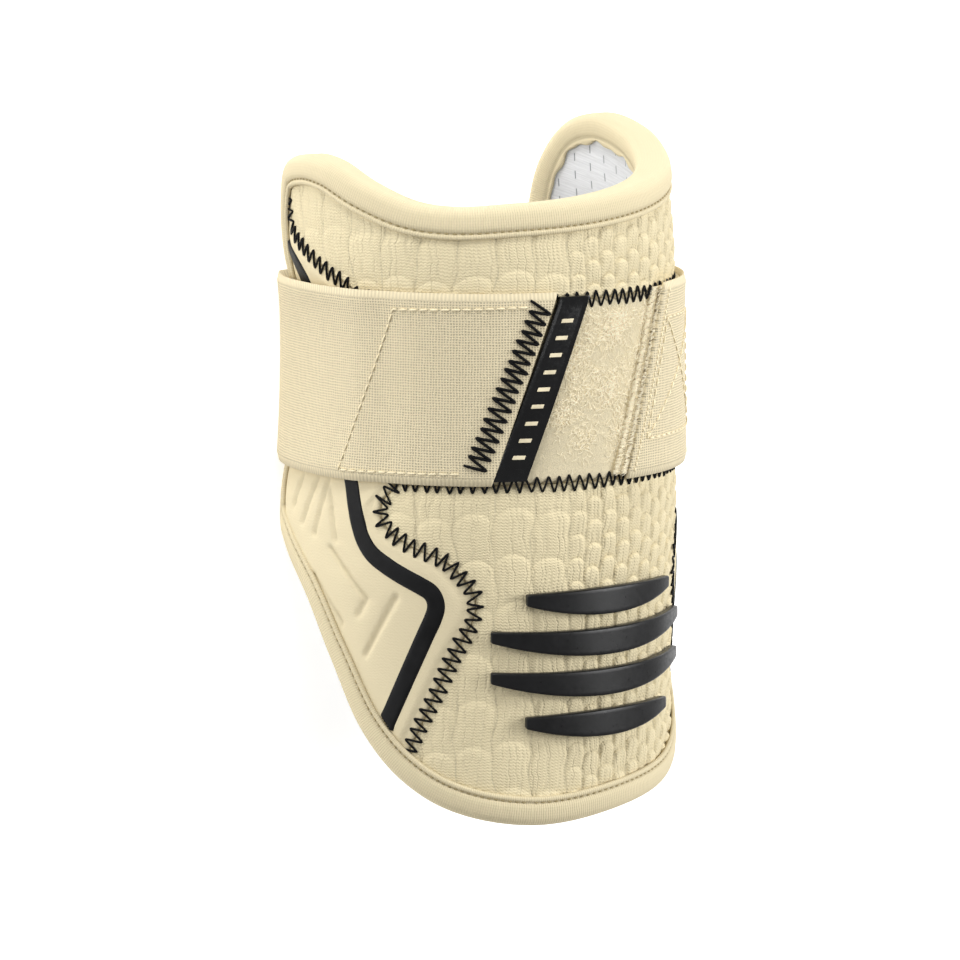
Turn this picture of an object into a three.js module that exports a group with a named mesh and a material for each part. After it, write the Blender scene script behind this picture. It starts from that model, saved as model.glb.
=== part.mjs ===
// A batter's elbow guard: a padded wall wrapped round the arm, open at the back, with a bound edge
// and a wide elastic strap that crosses the opening and closes on the front with hook and loop.
// Millimetres. The guard lies on the flat back stretch of its strap: +Z is the front of the guard,
// +Y its upper-arm end, +X the wearer's side that the strap's hook end comes round.
import * as THREE from 'three';

// Driving sizes
const GUARD_HEIGHT = 192.5; // lowest point of the hem to the tip of the taller wing
const SHELL_RADIUS = 56; // outer face of the padding, where it is widest
const PAD_THICKNESS = 4.6;
const LINING_THICKNESS = 2.2;
const CLEARANCE = 0.3; // between two pieces that touch
const LAYER_GAP = 0.4; // between the padding and the lining
const SEAM_INSET = 0.35; // from a seam line to the panel on either side of it
const QUILT_DEPTH = 0.7; // how far the quilting sinks between tufts
const BINDING_WIDTH = 8.5;
const BINDING_THICKNESS = 1.2;
const BINDING_ROUND = 3; // round of the bound edge, which the strap wraps
const EDGE_ROOM = 1.1; // from the padding's cut edge to the binding's fold
const STRAP_WIDTH = 0.278 * GUARD_HEIGHT; // two-inch elastic on a guard of this height
const STRAP_BASE = 0.5014 * GUARD_HEIGHT; // height of the strap's lower edge over the hem
const STRAP_THICKNESS = 1.6;
const STRAP_MARGIN = 1.25; // from the strap's edge to the hook tape's and the label's
const LOOP_WIDTH = STRAP_WIDTH - 2 * STRAP_MARGIN; // loop band under the strap, seam to seam
const HOOK_THICKNESS = 1.2;
const HOOK_LIP = 2; // how far the hook tape shows past the strap's end
const LABEL_WIDTH = 9; // along the strap
const LABEL_THICKNESS = 2.2;
const RIB_THICKNESS = 2.6;
const RIB_WIDTH = 7.6;
const ACCENT_WIDTH = 5.6;
const ACCENT_THICKNESS = 0.7;
const BEVEL = 0.9; // on the moulded label and ribs

// Angles round the guard, in degrees from the front line, positive towards +X
const EDGE_ANGLE = 130; // the bound edges that the strap wraps
const RIGHT_TURN = 7.5; // the right wing mirrors the left one, this much further round
const STRAP_END = { low: -32.8, high: -13.8 }; // the sewn end, cut on a slant beside the label
const HOOK_END = { low: 6.2, high: 24.2 }; // the hook tape's free end, on the loop band
const HOOK_BACK = 64;

// Outer radius of the padding at each height, as shares of the guard's height and the shell's radius
const RADIUS_ROWS = [
  { height: 0.0, front: 0.985, left: 0.99, right: 0.99 },
  { height: 0.19, front: 0.977, left: 0.985, right: 0.985 },
  { height: 0.45, front: 1.0, left: 0.99, right: 1.0 },
  { height: 0.53, front: 0.993, left: 0.948, right: 0.985 },
  { height: 0.63, front: 0.987, left: 0.914, right: 0.967 },
  { height: 0.73, front: 0.985, left: 0.918, right: 0.965 },
  { height: 0.82, front: 0.988, left: 0.98, right: 0.98 },
  { height: 0.92, front: 0.948, left: 1.0, right: 0.943 },
  { height: 1.0, front: 0.93, left: 1.0, right: 0.935 },
];
const FRONT_REACH = 30; // the front radius holds to this angle,
const WING_REACH = 100; // and the wing's radius from this one

// The guard's outline, unrolled: angle, and height as a share of the guard's height,
// from the hem's lowest point to the right, up the right edge, along the rim and down the left edge
const OUTLINE = [
  { angle: -21, height: 0.0 },
  { angle: 11, height: 0.013 },
  { angle: 38, height: 0.034 },
  { angle: 53, height: 0.064 },
  { angle: 68, height: 0.12, mark: 'rightLow' },
  { angle: 81, height: 0.195 },
  { angle: 93, height: 0.275 },
  { angle: 107, height: 0.345 },
  { angle: 121, height: 0.39 },
  { angle: 129.6, height: 0.455, mark: 'rightFoot' },
  { angle: 128.8, height: 0.57 },
  { angle: 128.2, height: 0.728 },
  { angle: 127.4, height: 0.842, mark: 'rightShoulder' },
  { angle: 122, height: 0.926, mark: 'rightHigh' },
  { angle: 112, height: 0.981 },
  { angle: 98, height: 1.0 },
  { angle: 78, height: 0.985 },
  { angle: 58, height: 0.957 },
  { angle: 30, height: 0.93 },
  { angle: 0, height: 0.912 },
  { angle: -26, height: 0.904 },
  { angle: -44, height: 0.9 },
  { angle: -57, height: 0.907 },
  { angle: -72, height: 0.932 },
  { angle: -86, height: 0.96 },
  { angle: -99, height: 0.965 },
  { angle: -112, height: 0.945, mark: 'leftHigh' },
  { angle: -118.8, height: 0.885, mark: 'leftShoulder' },
  { angle: -121.5, height: 0.78 },
  { angle: -125.5, height: 0.63 },
  { angle: -128.4, height: 0.535 },
  { angle: -129.6, height: 0.457, mark: 'leftFoot' },
  { angle: -126, height: 0.405 },
  { angle: -113, height: 0.374 },
  { angle: -98, height: 0.32 },
  { angle: -86, height: 0.233 },
  { angle: -74, height: 0.135 },
  { angle: -61.5, height: 0.07, mark: 'leftLow' },
  { angle: -46, height: 0.025 },
];

// The left seams, from their ends at the bound edge: angle, and height as a share of the way
// from the loop band to the high mark, or from the low mark to the strap's lower edge
const HIGH_SEAM = [
  { angle: -109.5, height: 0.7 },
  { angle: -108, height: 0.52 },
  { angle: -98, height: 0.345 },
  { angle: -87, height: 0.185 },
  { angle: -75.5, height: 0.0 },
];
const LOW_SEAM = [
  { angle: -61.5, height: 1.0 },
  { angle: -65.8, height: 0.925 },
  { angle: -65, height: 0.86 },
  { angle: -58, height: 0.795 },
  { angle: -45, height: 0.728 },
  { angle: -37.2, height: 0.59 },
  { angle: -44.8, height: 0.38 },
];

// Middle line of the left wing's dark band: angle, and height as a share of the strap's lower edge
const ACCENT_LINE = [
  { angle: -113, height: 1.66 },
  { angle: -102, height: 1.555 },
  { angle: -90, height: 1.27 },
  { angle: -77, height: 1.0 },
  { angle: -72.4, height: 0.865 },
  { angle: -66.5, height: 0.782 },
  { angle: -52, height: 0.705 },
  { angle: -46.8, height: 0.635 },
  { angle: -49.5, height: 0.53 },
  { angle: -55.5, height: 0.42 },
  { angle: -64.5, height: 0.285 },
];

// Raised ribs on the front: angle at the middle, height as a share of the strap's lower edge,
// half length in degrees, and how far the ends lift, as a share of the rib's width
const RIBS = [
  { angle: 4, height: 0.65, reach: 27, lift: 0.22 },
  { angle: 4, height: 0.53, reach: 37, lift: 0.4 },
  { angle: 4, height: 0.41, reach: 37, lift: 0.4 },
  { angle: 4, height: 0.29, reach: 27, lift: 0.22 },
];

// Worked out from the sizes above
const EDGE_INSET = BINDING_THICKNESS + EDGE_ROOM;
const STRAP_TOP = STRAP_BASE + STRAP_WIDTH;
const LOOP_TOP = STRAP_BASE + LOOP_WIDTH;
const BINDING_RISE = CLEARANCE + BINDING_THICKNESS;
const HOOK_RISE = CLEARANCE + HOOK_THICKNESS;
const STRAP_LIFT = Math.max(BINDING_RISE, HOOK_RISE) + 1.5 * CLEARANCE;
const WALL = PAD_THICKNESS + LAYER_GAP + LINING_THICKNESS;

const arcOf = (angle) => THREE.MathUtils.degToRad(angle) * SHELL_RADIUS;
const onPlan = (angle, height) => new THREE.Vector2(arcOf(angle), height);
const { smoothstep, lerp } = THREE.MathUtils;

const radiusShares = new THREE.CubicInterpolant(
  RADIUS_ROWS.map((row) => row.height),
  RADIUS_ROWS.flatMap(({ front, left, right }) => [front, left, right]),
  3,
  [0, 0, 0],
);

// Outer radius of the padding at a point of the unrolled wall
function shellRadius(s, h) {
  const angle = THREE.MathUtils.radToDeg(s / SHELL_RADIUS);
  const [front, left, right] = radiusShares.evaluate(THREE.MathUtils.clamp(h / GUARD_HEIGHT, 0, 1));
  const wing = angle < 0 ? left : right;
  return SHELL_RADIUS * lerp(front, wing, smoothstep(Math.abs(angle), FRONT_REACH, WING_REACH));
}

const padInner = (s, h) => shellRadius(s, h) - PAD_THICKNESS;
const liningOuter = (s, h) => padInner(s, h) - LAYER_GAP;
const liningInner = (s, h) => shellRadius(s, h) - WALL;

// The strap's corners: circles inside the two bound edges, tangent to the strap's flat back
const CORNER_ARC = arcOf(EDGE_ANGLE) - BINDING_ROUND;
const CORNER_ANGLE = CORNER_ARC / SHELL_RADIUS;
const cornerCentre = (side, h) => shellRadius(side * CORNER_ARC, h) + BINDING_RISE - BINDING_ROUND;
const cornerDepth = (side, h) => -Math.cos(CORNER_ANGLE) * cornerCentre(side, h);
const STRAP_HEIGHTS = [0, 0.25, 0.5, 0.75, 1].map((share) => lerp(STRAP_BASE, STRAP_TOP, share));
const BACK_DEPTH =
  Math.max(...STRAP_HEIGHTS.flatMap((h) => [cornerDepth(-1, h), cornerDepth(1, h)])) +
  BINDING_ROUND +
  CLEARANCE;
const AXIS_HEIGHT = BACK_DEPTH + STRAP_THICKNESS; // the arm's axis over the surface below

// A point of the unrolled wall, at a radius, in space
function place(s, h, radius) {
  const turn = s / SHELL_RADIUS;
  return new THREE.Vector3(
    radius * Math.sin(turn),
    h - GUARD_HEIGHT / 2,
    AXIS_HEIGHT + radius * Math.cos(turn),
  );
}

// A closed solid from points and faces, with its faces turned to point out
function solid(points, faces) {
  let volume = 0;
  for (const [a, b, c] of faces) volume += points[a].dot(points[b].clone().cross(points[c]));
  const turned = volume < 0 ? faces.map(([a, b, c]) => [a, c, b]) : faces;
  const geometry = new THREE.BufferGeometry().setFromPoints(points);
  geometry.setIndex(turned.flat());
  geometry.computeVertexNormals();
  return geometry;
}

// A wall over a grid of plan points, between an outer and an inner radius
function wall(grid, outer, inner) {
  const columns = grid.length;
  const rows = grid[0].length;
  const points = [];
  const faces = [];
  for (const [side, radius] of [outer, inner].entries())
    grid.forEach((line, i) =>
      line.forEach((p, j) => {
        points[side * columns * rows + i * rows + j] = place(p.x, p.y, radius(p.x, p.y, i, j));
      }),
    );
  const quad = (a, b, c, d) => faces.push([a, b, c], [a, c, d]);
  const at = (side, i, j) => side * columns * rows + i * rows + j;
  for (let i = 0; i + 1 < columns; i++)
    for (let j = 0; j + 1 < rows; j++) {
      quad(at(0, i, j), at(0, i + 1, j), at(0, i + 1, j + 1), at(0, i, j + 1));
      quad(at(1, i, j), at(1, i, j + 1), at(1, i + 1, j + 1), at(1, i + 1, j));
    }
  const rim = [];
  for (let i = 0; i + 1 < columns; i++) rim.push([i, 0]);
  for (let j = 0; j + 1 < rows; j++) rim.push([columns - 1, j]);
  for (let i = columns - 1; i > 0; i--) rim.push([i, rows - 1]);
  for (let j = rows - 1; j > 0; j--) rim.push([0, j]);
  rim.forEach((from, k) => {
    const to = rim[(k + 1) % rim.length];
    quad(at(0, ...from), at(1, ...from), at(1, ...to), at(0, ...to));
  });
  return solid(points, faces);
}

// A solid through sections of the same number of points, closed on itself or capped at its ends
function loft(sections, closed) {
  const count = sections[0].length;
  const faces = [];
  const spans = closed ? sections.length : sections.length - 1;
  for (let k = 0; k < spans; k++)
    for (let m = 0; m < count; m++) {
      const [near, far] = [k * count, ((k + 1) % sections.length) * count];
      const next = (m + 1) % count;
      faces.push([near + m, near + next, far + next], [near + m, far + next, far + m]);
    }
  if (!closed)
    for (let m = 1; m + 1 < count; m++) {
      const last = (sections.length - 1) * count;
      faces.push([0, m + 1, m], [last, last + m, last + m + 1]);
    }
  return solid(sections.flat(), faces);
}

// A smooth curve on the plan through rows of angle and height
function planCurve(points, closed = false) {
  const spread = points.map((p) => new THREE.Vector3(p.x, p.y, 0));
  return new THREE.CatmullRomCurve3(spread, closed, 'centripetal');
}

const perimeter = planCurve(
  OUTLINE.map((row) => onPlan(row.angle, row.height * GUARD_HEIGHT)),
  true,
);

// The outline at a row number, moved inwards
function insetAt(row, distance) {
  const share = THREE.MathUtils.euclideanModulo(row / OUTLINE.length, 1);
  const point = perimeter.getPoint(share);
  const along = perimeter.getTangent(share);
  return new THREE.Vector2(point.x - along.y * distance, point.y + along.x * distance);
}

const rowOf = (mark) => OUTLINE.findIndex((row) => row.mark === mark);
const panelEdge = (row) => insetAt(row, EDGE_INSET);

// The same curve with its parameter spread evenly over its length
function evenly(curve, from, to, steps = 160) {
  const points = Array.from({ length: steps + 1 }, (_, k) => curve(lerp(from, to, k / steps)));
  const reach = [0];
  points.slice(1).forEach((p, k) => reach.push(reach[k] + p.distanceTo(points[k])));
  return (share) => {
    const wanted = share * reach[steps];
    const k = Math.max(1, reach.findIndex((length) => length >= wanted - 1e-9));
    const part = (wanted - reach[k - 1]) / (reach[k] - reach[k - 1]);
    return points[k - 1].clone().lerp(points[k], part);
  };
}

// One side's whole seam, from its end at the rim, round the loop band, to its end at the hem
function seamOf(side) {
  const turned = (angle) => (side < 0 ? angle : RIGHT_TURN - angle);
  const [high, low] = side < 0 ? ['leftHigh', 'leftLow'] : ['rightHigh', 'rightLow'];
  const [start, end] = [panelEdge(rowOf(high)), panelEdge(rowOf(low))];
  const points = [
    start,
    ...HIGH_SEAM.map((row) => onPlan(turned(row.angle), lerp(LOOP_TOP, start.y, row.height))),
    ...LOW_SEAM.map((row) => onPlan(turned(row.angle), lerp(end.y, STRAP_BASE, row.height))),
    end,
  ];
  const curve = planCurve(points);
  const at = (row) => {
    const p = curve.getPoint(row / (points.length - 1));
    return new THREE.Vector2(p.x, p.y);
  };
  return { at, loopTop: HIGH_SEAM.length, loopBase: HIGH_SEAM.length + 1, end: points.length - 1 };
}

const leftSeam = seamOf(-1);
const rightSeam = seamOf(1);

// Plan points of a patch between four curves that meet at their ends
function patch({ bottom, top, left, right }, columns, rows) {
  return Array.from({ length: columns + 1 }, (_, i) => {
    const u = i / columns;
    return Array.from({ length: rows + 1 }, (_, j) => {
      const v = j / rows;
      const across = left(v).multiplyScalar(1 - u).addScaledVector(right(v), u);
      const up = bottom(u).multiplyScalar(1 - v).addScaledVector(top(u), v);
      return across
        .add(up)
        .addScaledVector(bottom(0), -(1 - u) * (1 - v))
        .addScaledVector(bottom(1), -u * (1 - v))
        .addScaledVector(top(0), -(1 - u) * v)
        .addScaledVector(top(1), -u * v);
    });
  });
}

// Draws the named sides of a grid of plan points in from their seams
function drawIn(grid, sides, inset = SEAM_INSET) {
  const [lastColumn, lastRow] = [grid.length - 1, grid[0].length - 1];
  const moves = [];
  const move = (i, j, [inI, inJ], [besideI, besideJ]) => {
    const p = grid[i][j];
    const inwards = grid[inI][inJ].clone().sub(p).normalize();
    const beside = grid[besideI][besideJ].clone().sub(p).normalize();
    const slant = Math.max(0.45, Math.abs(inwards.cross(beside)));
    moves.push([p, inwards.multiplyScalar(inset / slant)]);
  };
  for (let j = 0; j <= lastRow; j++) {
    const beside = j < lastRow ? j + 1 : j - 1;
    if (sides.includes('left')) move(0, j, [1, j], [0, beside]);
    if (sides.includes('right')) move(lastColumn, j, [lastColumn - 1, j], [lastColumn, beside]);
  }
  for (let i = 0; i <= lastColumn; i++) {
    const beside = i < lastColumn ? i + 1 : i - 1;
    if (sides.includes('bottom')) move(i, 0, [i, 1], [beside, 0]);
    if (sides.includes('top')) move(i, lastRow, [i, lastRow - 1], [beside, lastRow]);
  }
  for (const [p, by] of moves) p.add(by);
  return grid;
}

// Outer radius of a quilted panel: tufts in staggered rows, level with the wall round the panel's edge
function quilted(grid) {
  const [lastColumn, lastRow] = [grid.length - 1, grid[0].length - 1];
  return (s, h, i, j) => {
    const fade = Math.min(1, i / 3, (lastColumn - i) / 3, j, lastRow - j);
    return shellRadius(s, h) - ((i + j) % 2 ? QUILT_DEPTH * fade : 0);
  };
}

const level = (curve, height) => (u) =>
  new THREE.Vector2(lerp(curve[0], curve[1], u), height);

// The three front panels between the wings: quilted above and below, loop cloth between
function upperPanel() {
  const [left, right] = [leftSeam.at(leftSeam.loopTop), rightSeam.at(rightSeam.loopTop)];
  const grid = patch(
    {
      bottom: level([left.x, right.x], LOOP_TOP),
      top: evenly(panelEdge, rowOf('leftHigh'), rowOf('rightHigh')),
      left: evenly(leftSeam.at, leftSeam.loopTop, 0),
      right: evenly(rightSeam.at, rightSeam.loopTop, 0),
    },
    36,
    6,
  );
  drawIn(grid, ['left', 'right', 'bottom']);
  return wall(grid, quilted(grid), padInner);
}

function lowerPanel() {
  const [left, right] = [leftSeam.at(leftSeam.loopBase), rightSeam.at(rightSeam.loopBase)];
  const grid = patch(
    {
      bottom: evenly(panelEdge, rowOf('leftLow'), rowOf('rightLow') + OUTLINE.length),
      top: level([left.x, right.x], STRAP_BASE),
      left: evenly(leftSeam.at, leftSeam.end, leftSeam.loopBase),
      right: evenly(rightSeam.at, rightSeam.end, rightSeam.loopBase),
    },
    22,
    16,
  );
  drawIn(grid, ['left', 'right', 'top']);
  return wall(grid, quilted(grid), padInner);
}

function loopBand() {
  const corners = [leftSeam, rightSeam].map((seam) => [seam.at(seam.loopBase), seam.at(seam.loopTop)]);
  const grid = patch(
    {
      bottom: level([corners[0][0].x, corners[1][0].x], STRAP_BASE),
      top: level([corners[0][1].x, corners[1][1].x], LOOP_TOP),
      left: evenly(leftSeam.at, leftSeam.loopBase, leftSeam.loopTop),
      right: evenly(rightSeam.at, rightSeam.loopBase, rightSeam.loopTop),
    },
    24,
    5,
  );
  drawIn(grid, ['left', 'right', 'bottom', 'top']);
  return wall(grid, shellRadius, padInner);
}

// A wing lies between the bound edge and its seam, which meet at both ends
function wing(side) {
  const [seam, high, low] =
    side < 0 ? [leftSeam, 'leftHigh', 'leftLow'] : [rightSeam, 'rightHigh', 'rightLow'];
  const edge = evenly(panelEdge, rowOf(low), rowOf(high));
  const inner = evenly(seam.at, seam.end, 0);
  const [columns, rows] = [6, 30];
  const grid = Array.from({ length: columns + 1 }, (_, i) =>
    Array.from({ length: rows + 1 }, (_, j) => {
      const along = lerp(0.03, 0.97, j / rows); // short of the two points, which are sewn under the binding
      return edge(along).lerp(inner(along), i / columns);
    }),
  );
  drawIn(grid, ['right']);
  return wall(grid, shellRadius, padInner);
}

function lining() {
  const rows = OUTLINE.length;
  const grid = patch(
    {
      bottom: evenly(panelEdge, rowOf('leftFoot'), rowOf('rightFoot') + rows),
      top: evenly(panelEdge, rowOf('leftShoulder'), rowOf('rightShoulder')),
      left: evenly(panelEdge, rowOf('leftFoot'), rowOf('leftShoulder')),
      right: evenly(panelEdge, rowOf('rightFoot'), rowOf('rightShoulder')),
    },
    36,
    12,
  );
  return wall(grid, liningOuter, liningInner);
}

// The binding folds over the wall's edge all the way round
function edgeBinding() {
  const turn = BINDING_ROUND * (1 - Math.SQRT1_2);
  const outerFace = (s, h) => shellRadius(s, h) + CLEARANCE;
  const innerFace = (s, h) => liningInner(s, h) - CLEARANCE;
  const section = [
    { inwards: BINDING_WIDTH, face: outerFace, out: 0 },
    { inwards: BINDING_WIDTH, face: outerFace, out: BINDING_THICKNESS },
    { inwards: BINDING_ROUND, face: outerFace, out: BINDING_THICKNESS },
    { inwards: turn, face: outerFace, out: BINDING_THICKNESS - turn },
    { inwards: 0, face: outerFace, out: BINDING_THICKNESS - BINDING_ROUND },
    { inwards: 0, face: innerFace, out: BINDING_ROUND - BINDING_THICKNESS },
    { inwards: turn, face: innerFace, out: turn - BINDING_THICKNESS },
    { inwards: BINDING_ROUND, face: innerFace, out: -BINDING_THICKNESS },
    { inwards: BINDING_WIDTH, face: innerFace, out: -BINDING_THICKNESS },
    { inwards: BINDING_WIDTH, face: innerFace, out: 0 },
    { inwards: BINDING_THICKNESS, face: innerFace, out: 0 },
    { inwards: BINDING_THICKNESS, face: outerFace, out: 0 },
  ];
  const steps = 100;
  const lengths = perimeter.getLengths(600);
  const sections = Array.from({ length: steps }, (_, k) => {
    const wanted = (k / steps) * lengths[600];
    const at = lengths.findIndex((length) => length >= wanted) / 600;
    const row = at * OUTLINE.length;
    return section.map(({ inwards, face, out }) => {
      const p = insetAt(row, inwards);
      return place(p.x, p.y, face(p.x, p.y) + out);
    });
  });
  return loft(sections, true);
}

// How far the strap's inner face stands off the wall on its way round
function strapLift(side, angle, cornerLift) {
  const sewn = side < 0 ? smoothstep(Math.abs(angle), 62, 76) : 1;
  const toCorner = smoothstep(Math.abs(angle), 95, THREE.MathUtils.radToDeg(CORNER_ANGLE));
  return lerp(lerp(CLEARANCE, STRAP_LIFT, sewn), cornerLift, toCorner);
}

// Points of the strap's inner or outer face at one height, from the sewn end to the hook end
function strapLine(h, out) {
  const share = (h - STRAP_BASE) / STRAP_WIDTH;
  const line = [];
  const corner = THREE.MathUtils.radToDeg(CORNER_ANGLE);
  const cornerRadius = (side) => BACK_DEPTH - cornerDepth(side, h);
  const onWall = (side, angle) => {
    const s = arcOf(angle);
    const cornerLift = cornerRadius(side) + BINDING_RISE - BINDING_ROUND;
    line.push(place(s, h, shellRadius(s, h) + strapLift(side, angle, cornerLift) + out));
  };
  const roundCorner = (side, from, to, steps) => {
    for (let k = 1; k <= steps; k++) {
      const turn = side * lerp(from, to, k / steps);
      const centre = place(side * CORNER_ARC, h, cornerCentre(side, h));
      const reach = cornerRadius(side) + out;
      line.push(centre.add(new THREE.Vector3(Math.sin(turn) * reach, 0, Math.cos(turn) * reach)));
    }
  };
  const start = lerp(STRAP_END.low, STRAP_END.high, share);
  const hookLip = THREE.MathUtils.radToDeg(HOOK_LIP / SHELL_RADIUS);
  const end = lerp(HOOK_END.low, HOOK_END.high, share) + hookLip;
  const [leftSteps, rightSteps, cornerSteps] = [18, 20, 5];
  for (let k = 0; k <= leftSteps; k++) onWall(-1, lerp(start, -corner, k / leftSteps));
  roundCorner(-1, CORNER_ANGLE, Math.PI, cornerSteps);
  roundCorner(1, Math.PI + 1e-9, CORNER_ANGLE, cornerSteps);
  for (let k = 1; k <= rightSteps; k++) onWall(1, lerp(corner, end, k / rightSteps));
  return line;
}

function elasticStrap() {
  const inner = STRAP_HEIGHTS.map((h) => strapLine(h, 0));
  const outer = STRAP_HEIGHTS.map((h) => strapLine(h, STRAP_THICKNESS));
  const sections = inner[0].map((_, k) => [
    ...outer.map((line) => line[k]),
    ...inner.map((line) => line[k]).reverse(),
  ]);
  return loft(sections, false);
}

// A thin piece that lies on the wall, between two heights and two slanted ends
function layer(leftEnd, rightEnd, [low, high], [columns, rows], under, thickness, bevel = 0) {
  const edge = bevel ? [0, bevel] : [0];
  const shares = (count, length) => {
    const inner = Array.from({ length: count + 1 }, (_, k) => k / count);
    if (!bevel) return inner;
    const near = bevel / length;
    return [0, ...inner.map((x) => lerp(near, 1 - near, x)), 1];
  };
  const us = shares(columns, arcOf(rightEnd.low - leftEnd.low));
  const vs = shares(rows, high - low);
  const grid = us.map((u) =>
    vs.map((v) => {
      const angle = lerp(lerp(leftEnd.low, leftEnd.high, v), lerp(rightEnd.low, rightEnd.high, v), u);
      return onPlan(angle, lerp(low, high, v));
    }),
  );
  const rim = (i, j) => i === 0 || j === 0 || i === us.length - 1 || j === vs.length - 1;
  const drop = (i, j) => (edge.length > 1 && rim(i, j) ? bevel : 0);
  const outer = (s, h, i, j) => shellRadius(s, h) + under + thickness - drop(i, j);
  return wall(grid, outer, (s, h) => shellRadius(s, h) + under);
}

function hookTab() {
  const backEnd = { low: HOOK_BACK, high: HOOK_BACK };
  const heights = [STRAP_BASE + STRAP_MARGIN, STRAP_TOP - STRAP_MARGIN];
  return layer(HOOK_END, backEnd, heights, [13, 4], CLEARANCE, HOOK_THICKNESS);
}

function labelStrip() {
  const gap = THREE.MathUtils.radToDeg(CLEARANCE / SHELL_RADIUS) * 2;
  const width = THREE.MathUtils.radToDeg(LABEL_WIDTH / SHELL_RADIUS);
  const leftEnd = { low: STRAP_END.low + gap, high: STRAP_END.high + gap };
  const rightEnd = { low: leftEnd.low + width, high: leftEnd.high + width };
  const heights = [STRAP_BASE + STRAP_MARGIN, STRAP_TOP - STRAP_MARGIN];
  return layer(leftEnd, rightEnd, heights, [2, 8], CLEARANCE, LABEL_THICKNESS, BEVEL);
}

// A raised rib: widest in the middle, its ends narrowing and lifting
function impactRib({ angle, height, reach, lift }) {
  const steps = 12;
  const across = [-1, -0.72, 0.72, 1];
  const grid = Array.from({ length: steps + 1 }, (_, i) => {
    const u = lerp(-1, 1, i / steps);
    const half = (RIB_WIDTH / 2) * lerp(1, 0.42, Math.abs(u) ** 2.2);
    const middle = height * STRAP_BASE + lift * RIB_WIDTH * u * u;
    return across.map((v) => onPlan(angle + reach * u, middle + half * v));
  });
  const outer = (s, h, i, j) => {
    const rim = i === 0 || i === steps || j === 0 || j === across.length - 1;
    return shellRadius(s, h) + CLEARANCE + RIB_THICKNESS - (rim ? BEVEL * 1.6 : 0);
  };
  return wall(grid, outer, (s, h) => shellRadius(s, h) + CLEARANCE);
}

// The dark band on a wing, from near the rim, under the strap, to near the hem
function accentBand(side) {
  const turned = (angle) => (side < 0 ? angle : RIGHT_TURN - angle);
  const border = perimeter.getSpacedPoints(240);
  const clear = (p) =>
    border.every((q) => Math.hypot(p.x - q.x, p.y - q.y) > BINDING_WIDTH + 2 * CLEARANCE);
  const points = ACCENT_LINE.map((row) => onPlan(turned(row.angle), row.height * STRAP_BASE));
  const middle = planCurve(points);
  const edgeLine = (out) => {
    const line = Array.from({ length: 161 }, (_, k) => {
      const p = middle.getPointAt(k / 160);
      const along = middle.getTangentAt(k / 160);
      return new THREE.Vector2(p.x - along.y * out, p.y + along.x * out);
    }).filter(clear);
    return evenly((k) => line[Math.round(k)], 0, line.length - 1, line.length - 1);
  };
  const edges = [edgeLine(-ACCENT_WIDTH / 2), edgeLine(ACCENT_WIDTH / 2)];
  const steps = 26;
  const grid = Array.from({ length: steps + 1 }, (_, k) => edges.map((line) => line(k / steps)));
  const outer = (s, h) => shellRadius(s, h) + CLEARANCE + ACCENT_THICKNESS;
  return wall(grid, outer, (s, h) => shellRadius(s, h) + CLEARANCE);
}

// Finishes
const cloth = (color, roughness) => new THREE.MeshStandardMaterial({ color, roughness, metalness: 0 });
const creamKnit = cloth(0xe6d8b0, 0.9);
const creamFoam = cloth(0xecdfba, 0.8);
const creamTape = cloth(0xe2d4ab, 0.85);
const creamLoop = cloth(0xe8dbb6, 1);
const whiteMesh = cloth(0xe8e8ea, 0.9);
const blackRubber = cloth(0x1c1c1c, 0.45);

const guard = new THREE.Group();
function add(name, geometry, material) {
  const mesh = new THREE.Mesh(geometry, material);
  mesh.name = name;
  guard.add(mesh);
}

add('lining', lining(), whiteMesh);
add('upper_panel', upperPanel(), creamKnit);
add('lower_panel', lowerPanel(), creamKnit);
add('loop_band', loopBand(), creamLoop);
add('left_wing', wing(-1), creamFoam);
add('right_wing', wing(1), creamFoam);
add('edge_binding', edgeBinding(), creamTape);
add('elastic_strap', elasticStrap(), creamTape);
add('hook_tab', hookTab(), creamTape);
add('label_strip', labelStrip(), blackRubber);
RIBS.forEach((rib, k) => add(`impact_rib_${k + 1}`, impactRib(rib), blackRubber));
add('left_accent_band', accentBand(-1), blackRubber);
add('right_accent_band', accentBand(1), blackRubber);


// The origin lies on the surface below, under the middle of the guard
const box = new THREE.Box3().setFromObject(guard);
const centre = box.getCenter(new THREE.Vector3());
guard.position.set(-centre.x, -centre.y, -box.min.z);

export default guard;
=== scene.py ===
"""Dresses the elbow guard: quilted padding, embossed wings, bound edge, elastic strap and stitching."""

import math

import bpy
import numpy as np
from mathutils import Matrix, Vector


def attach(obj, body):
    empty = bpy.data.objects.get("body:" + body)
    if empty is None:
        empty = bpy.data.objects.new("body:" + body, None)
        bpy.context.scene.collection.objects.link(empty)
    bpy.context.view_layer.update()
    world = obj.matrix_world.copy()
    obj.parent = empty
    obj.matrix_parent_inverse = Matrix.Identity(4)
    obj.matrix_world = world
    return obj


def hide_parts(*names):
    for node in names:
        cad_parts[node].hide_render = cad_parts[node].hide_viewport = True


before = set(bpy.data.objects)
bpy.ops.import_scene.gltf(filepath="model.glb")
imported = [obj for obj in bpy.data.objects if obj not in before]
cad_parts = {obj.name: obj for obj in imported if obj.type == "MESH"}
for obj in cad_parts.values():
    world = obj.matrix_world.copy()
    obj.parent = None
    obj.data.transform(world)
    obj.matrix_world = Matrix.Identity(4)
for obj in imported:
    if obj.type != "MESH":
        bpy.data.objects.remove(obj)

bl_info = {
    "name": "Elbow Guard",
    "version": (1, 0, 0),
    "blender": (4, 5, 0),
    "location": "3D View > Sidebar > Elbow Guard",
    "description": "Makes the cloth, stitching and moulded trim of a batter's elbow guard",
    "category": "Object",
}

MM = 0.001

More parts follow.
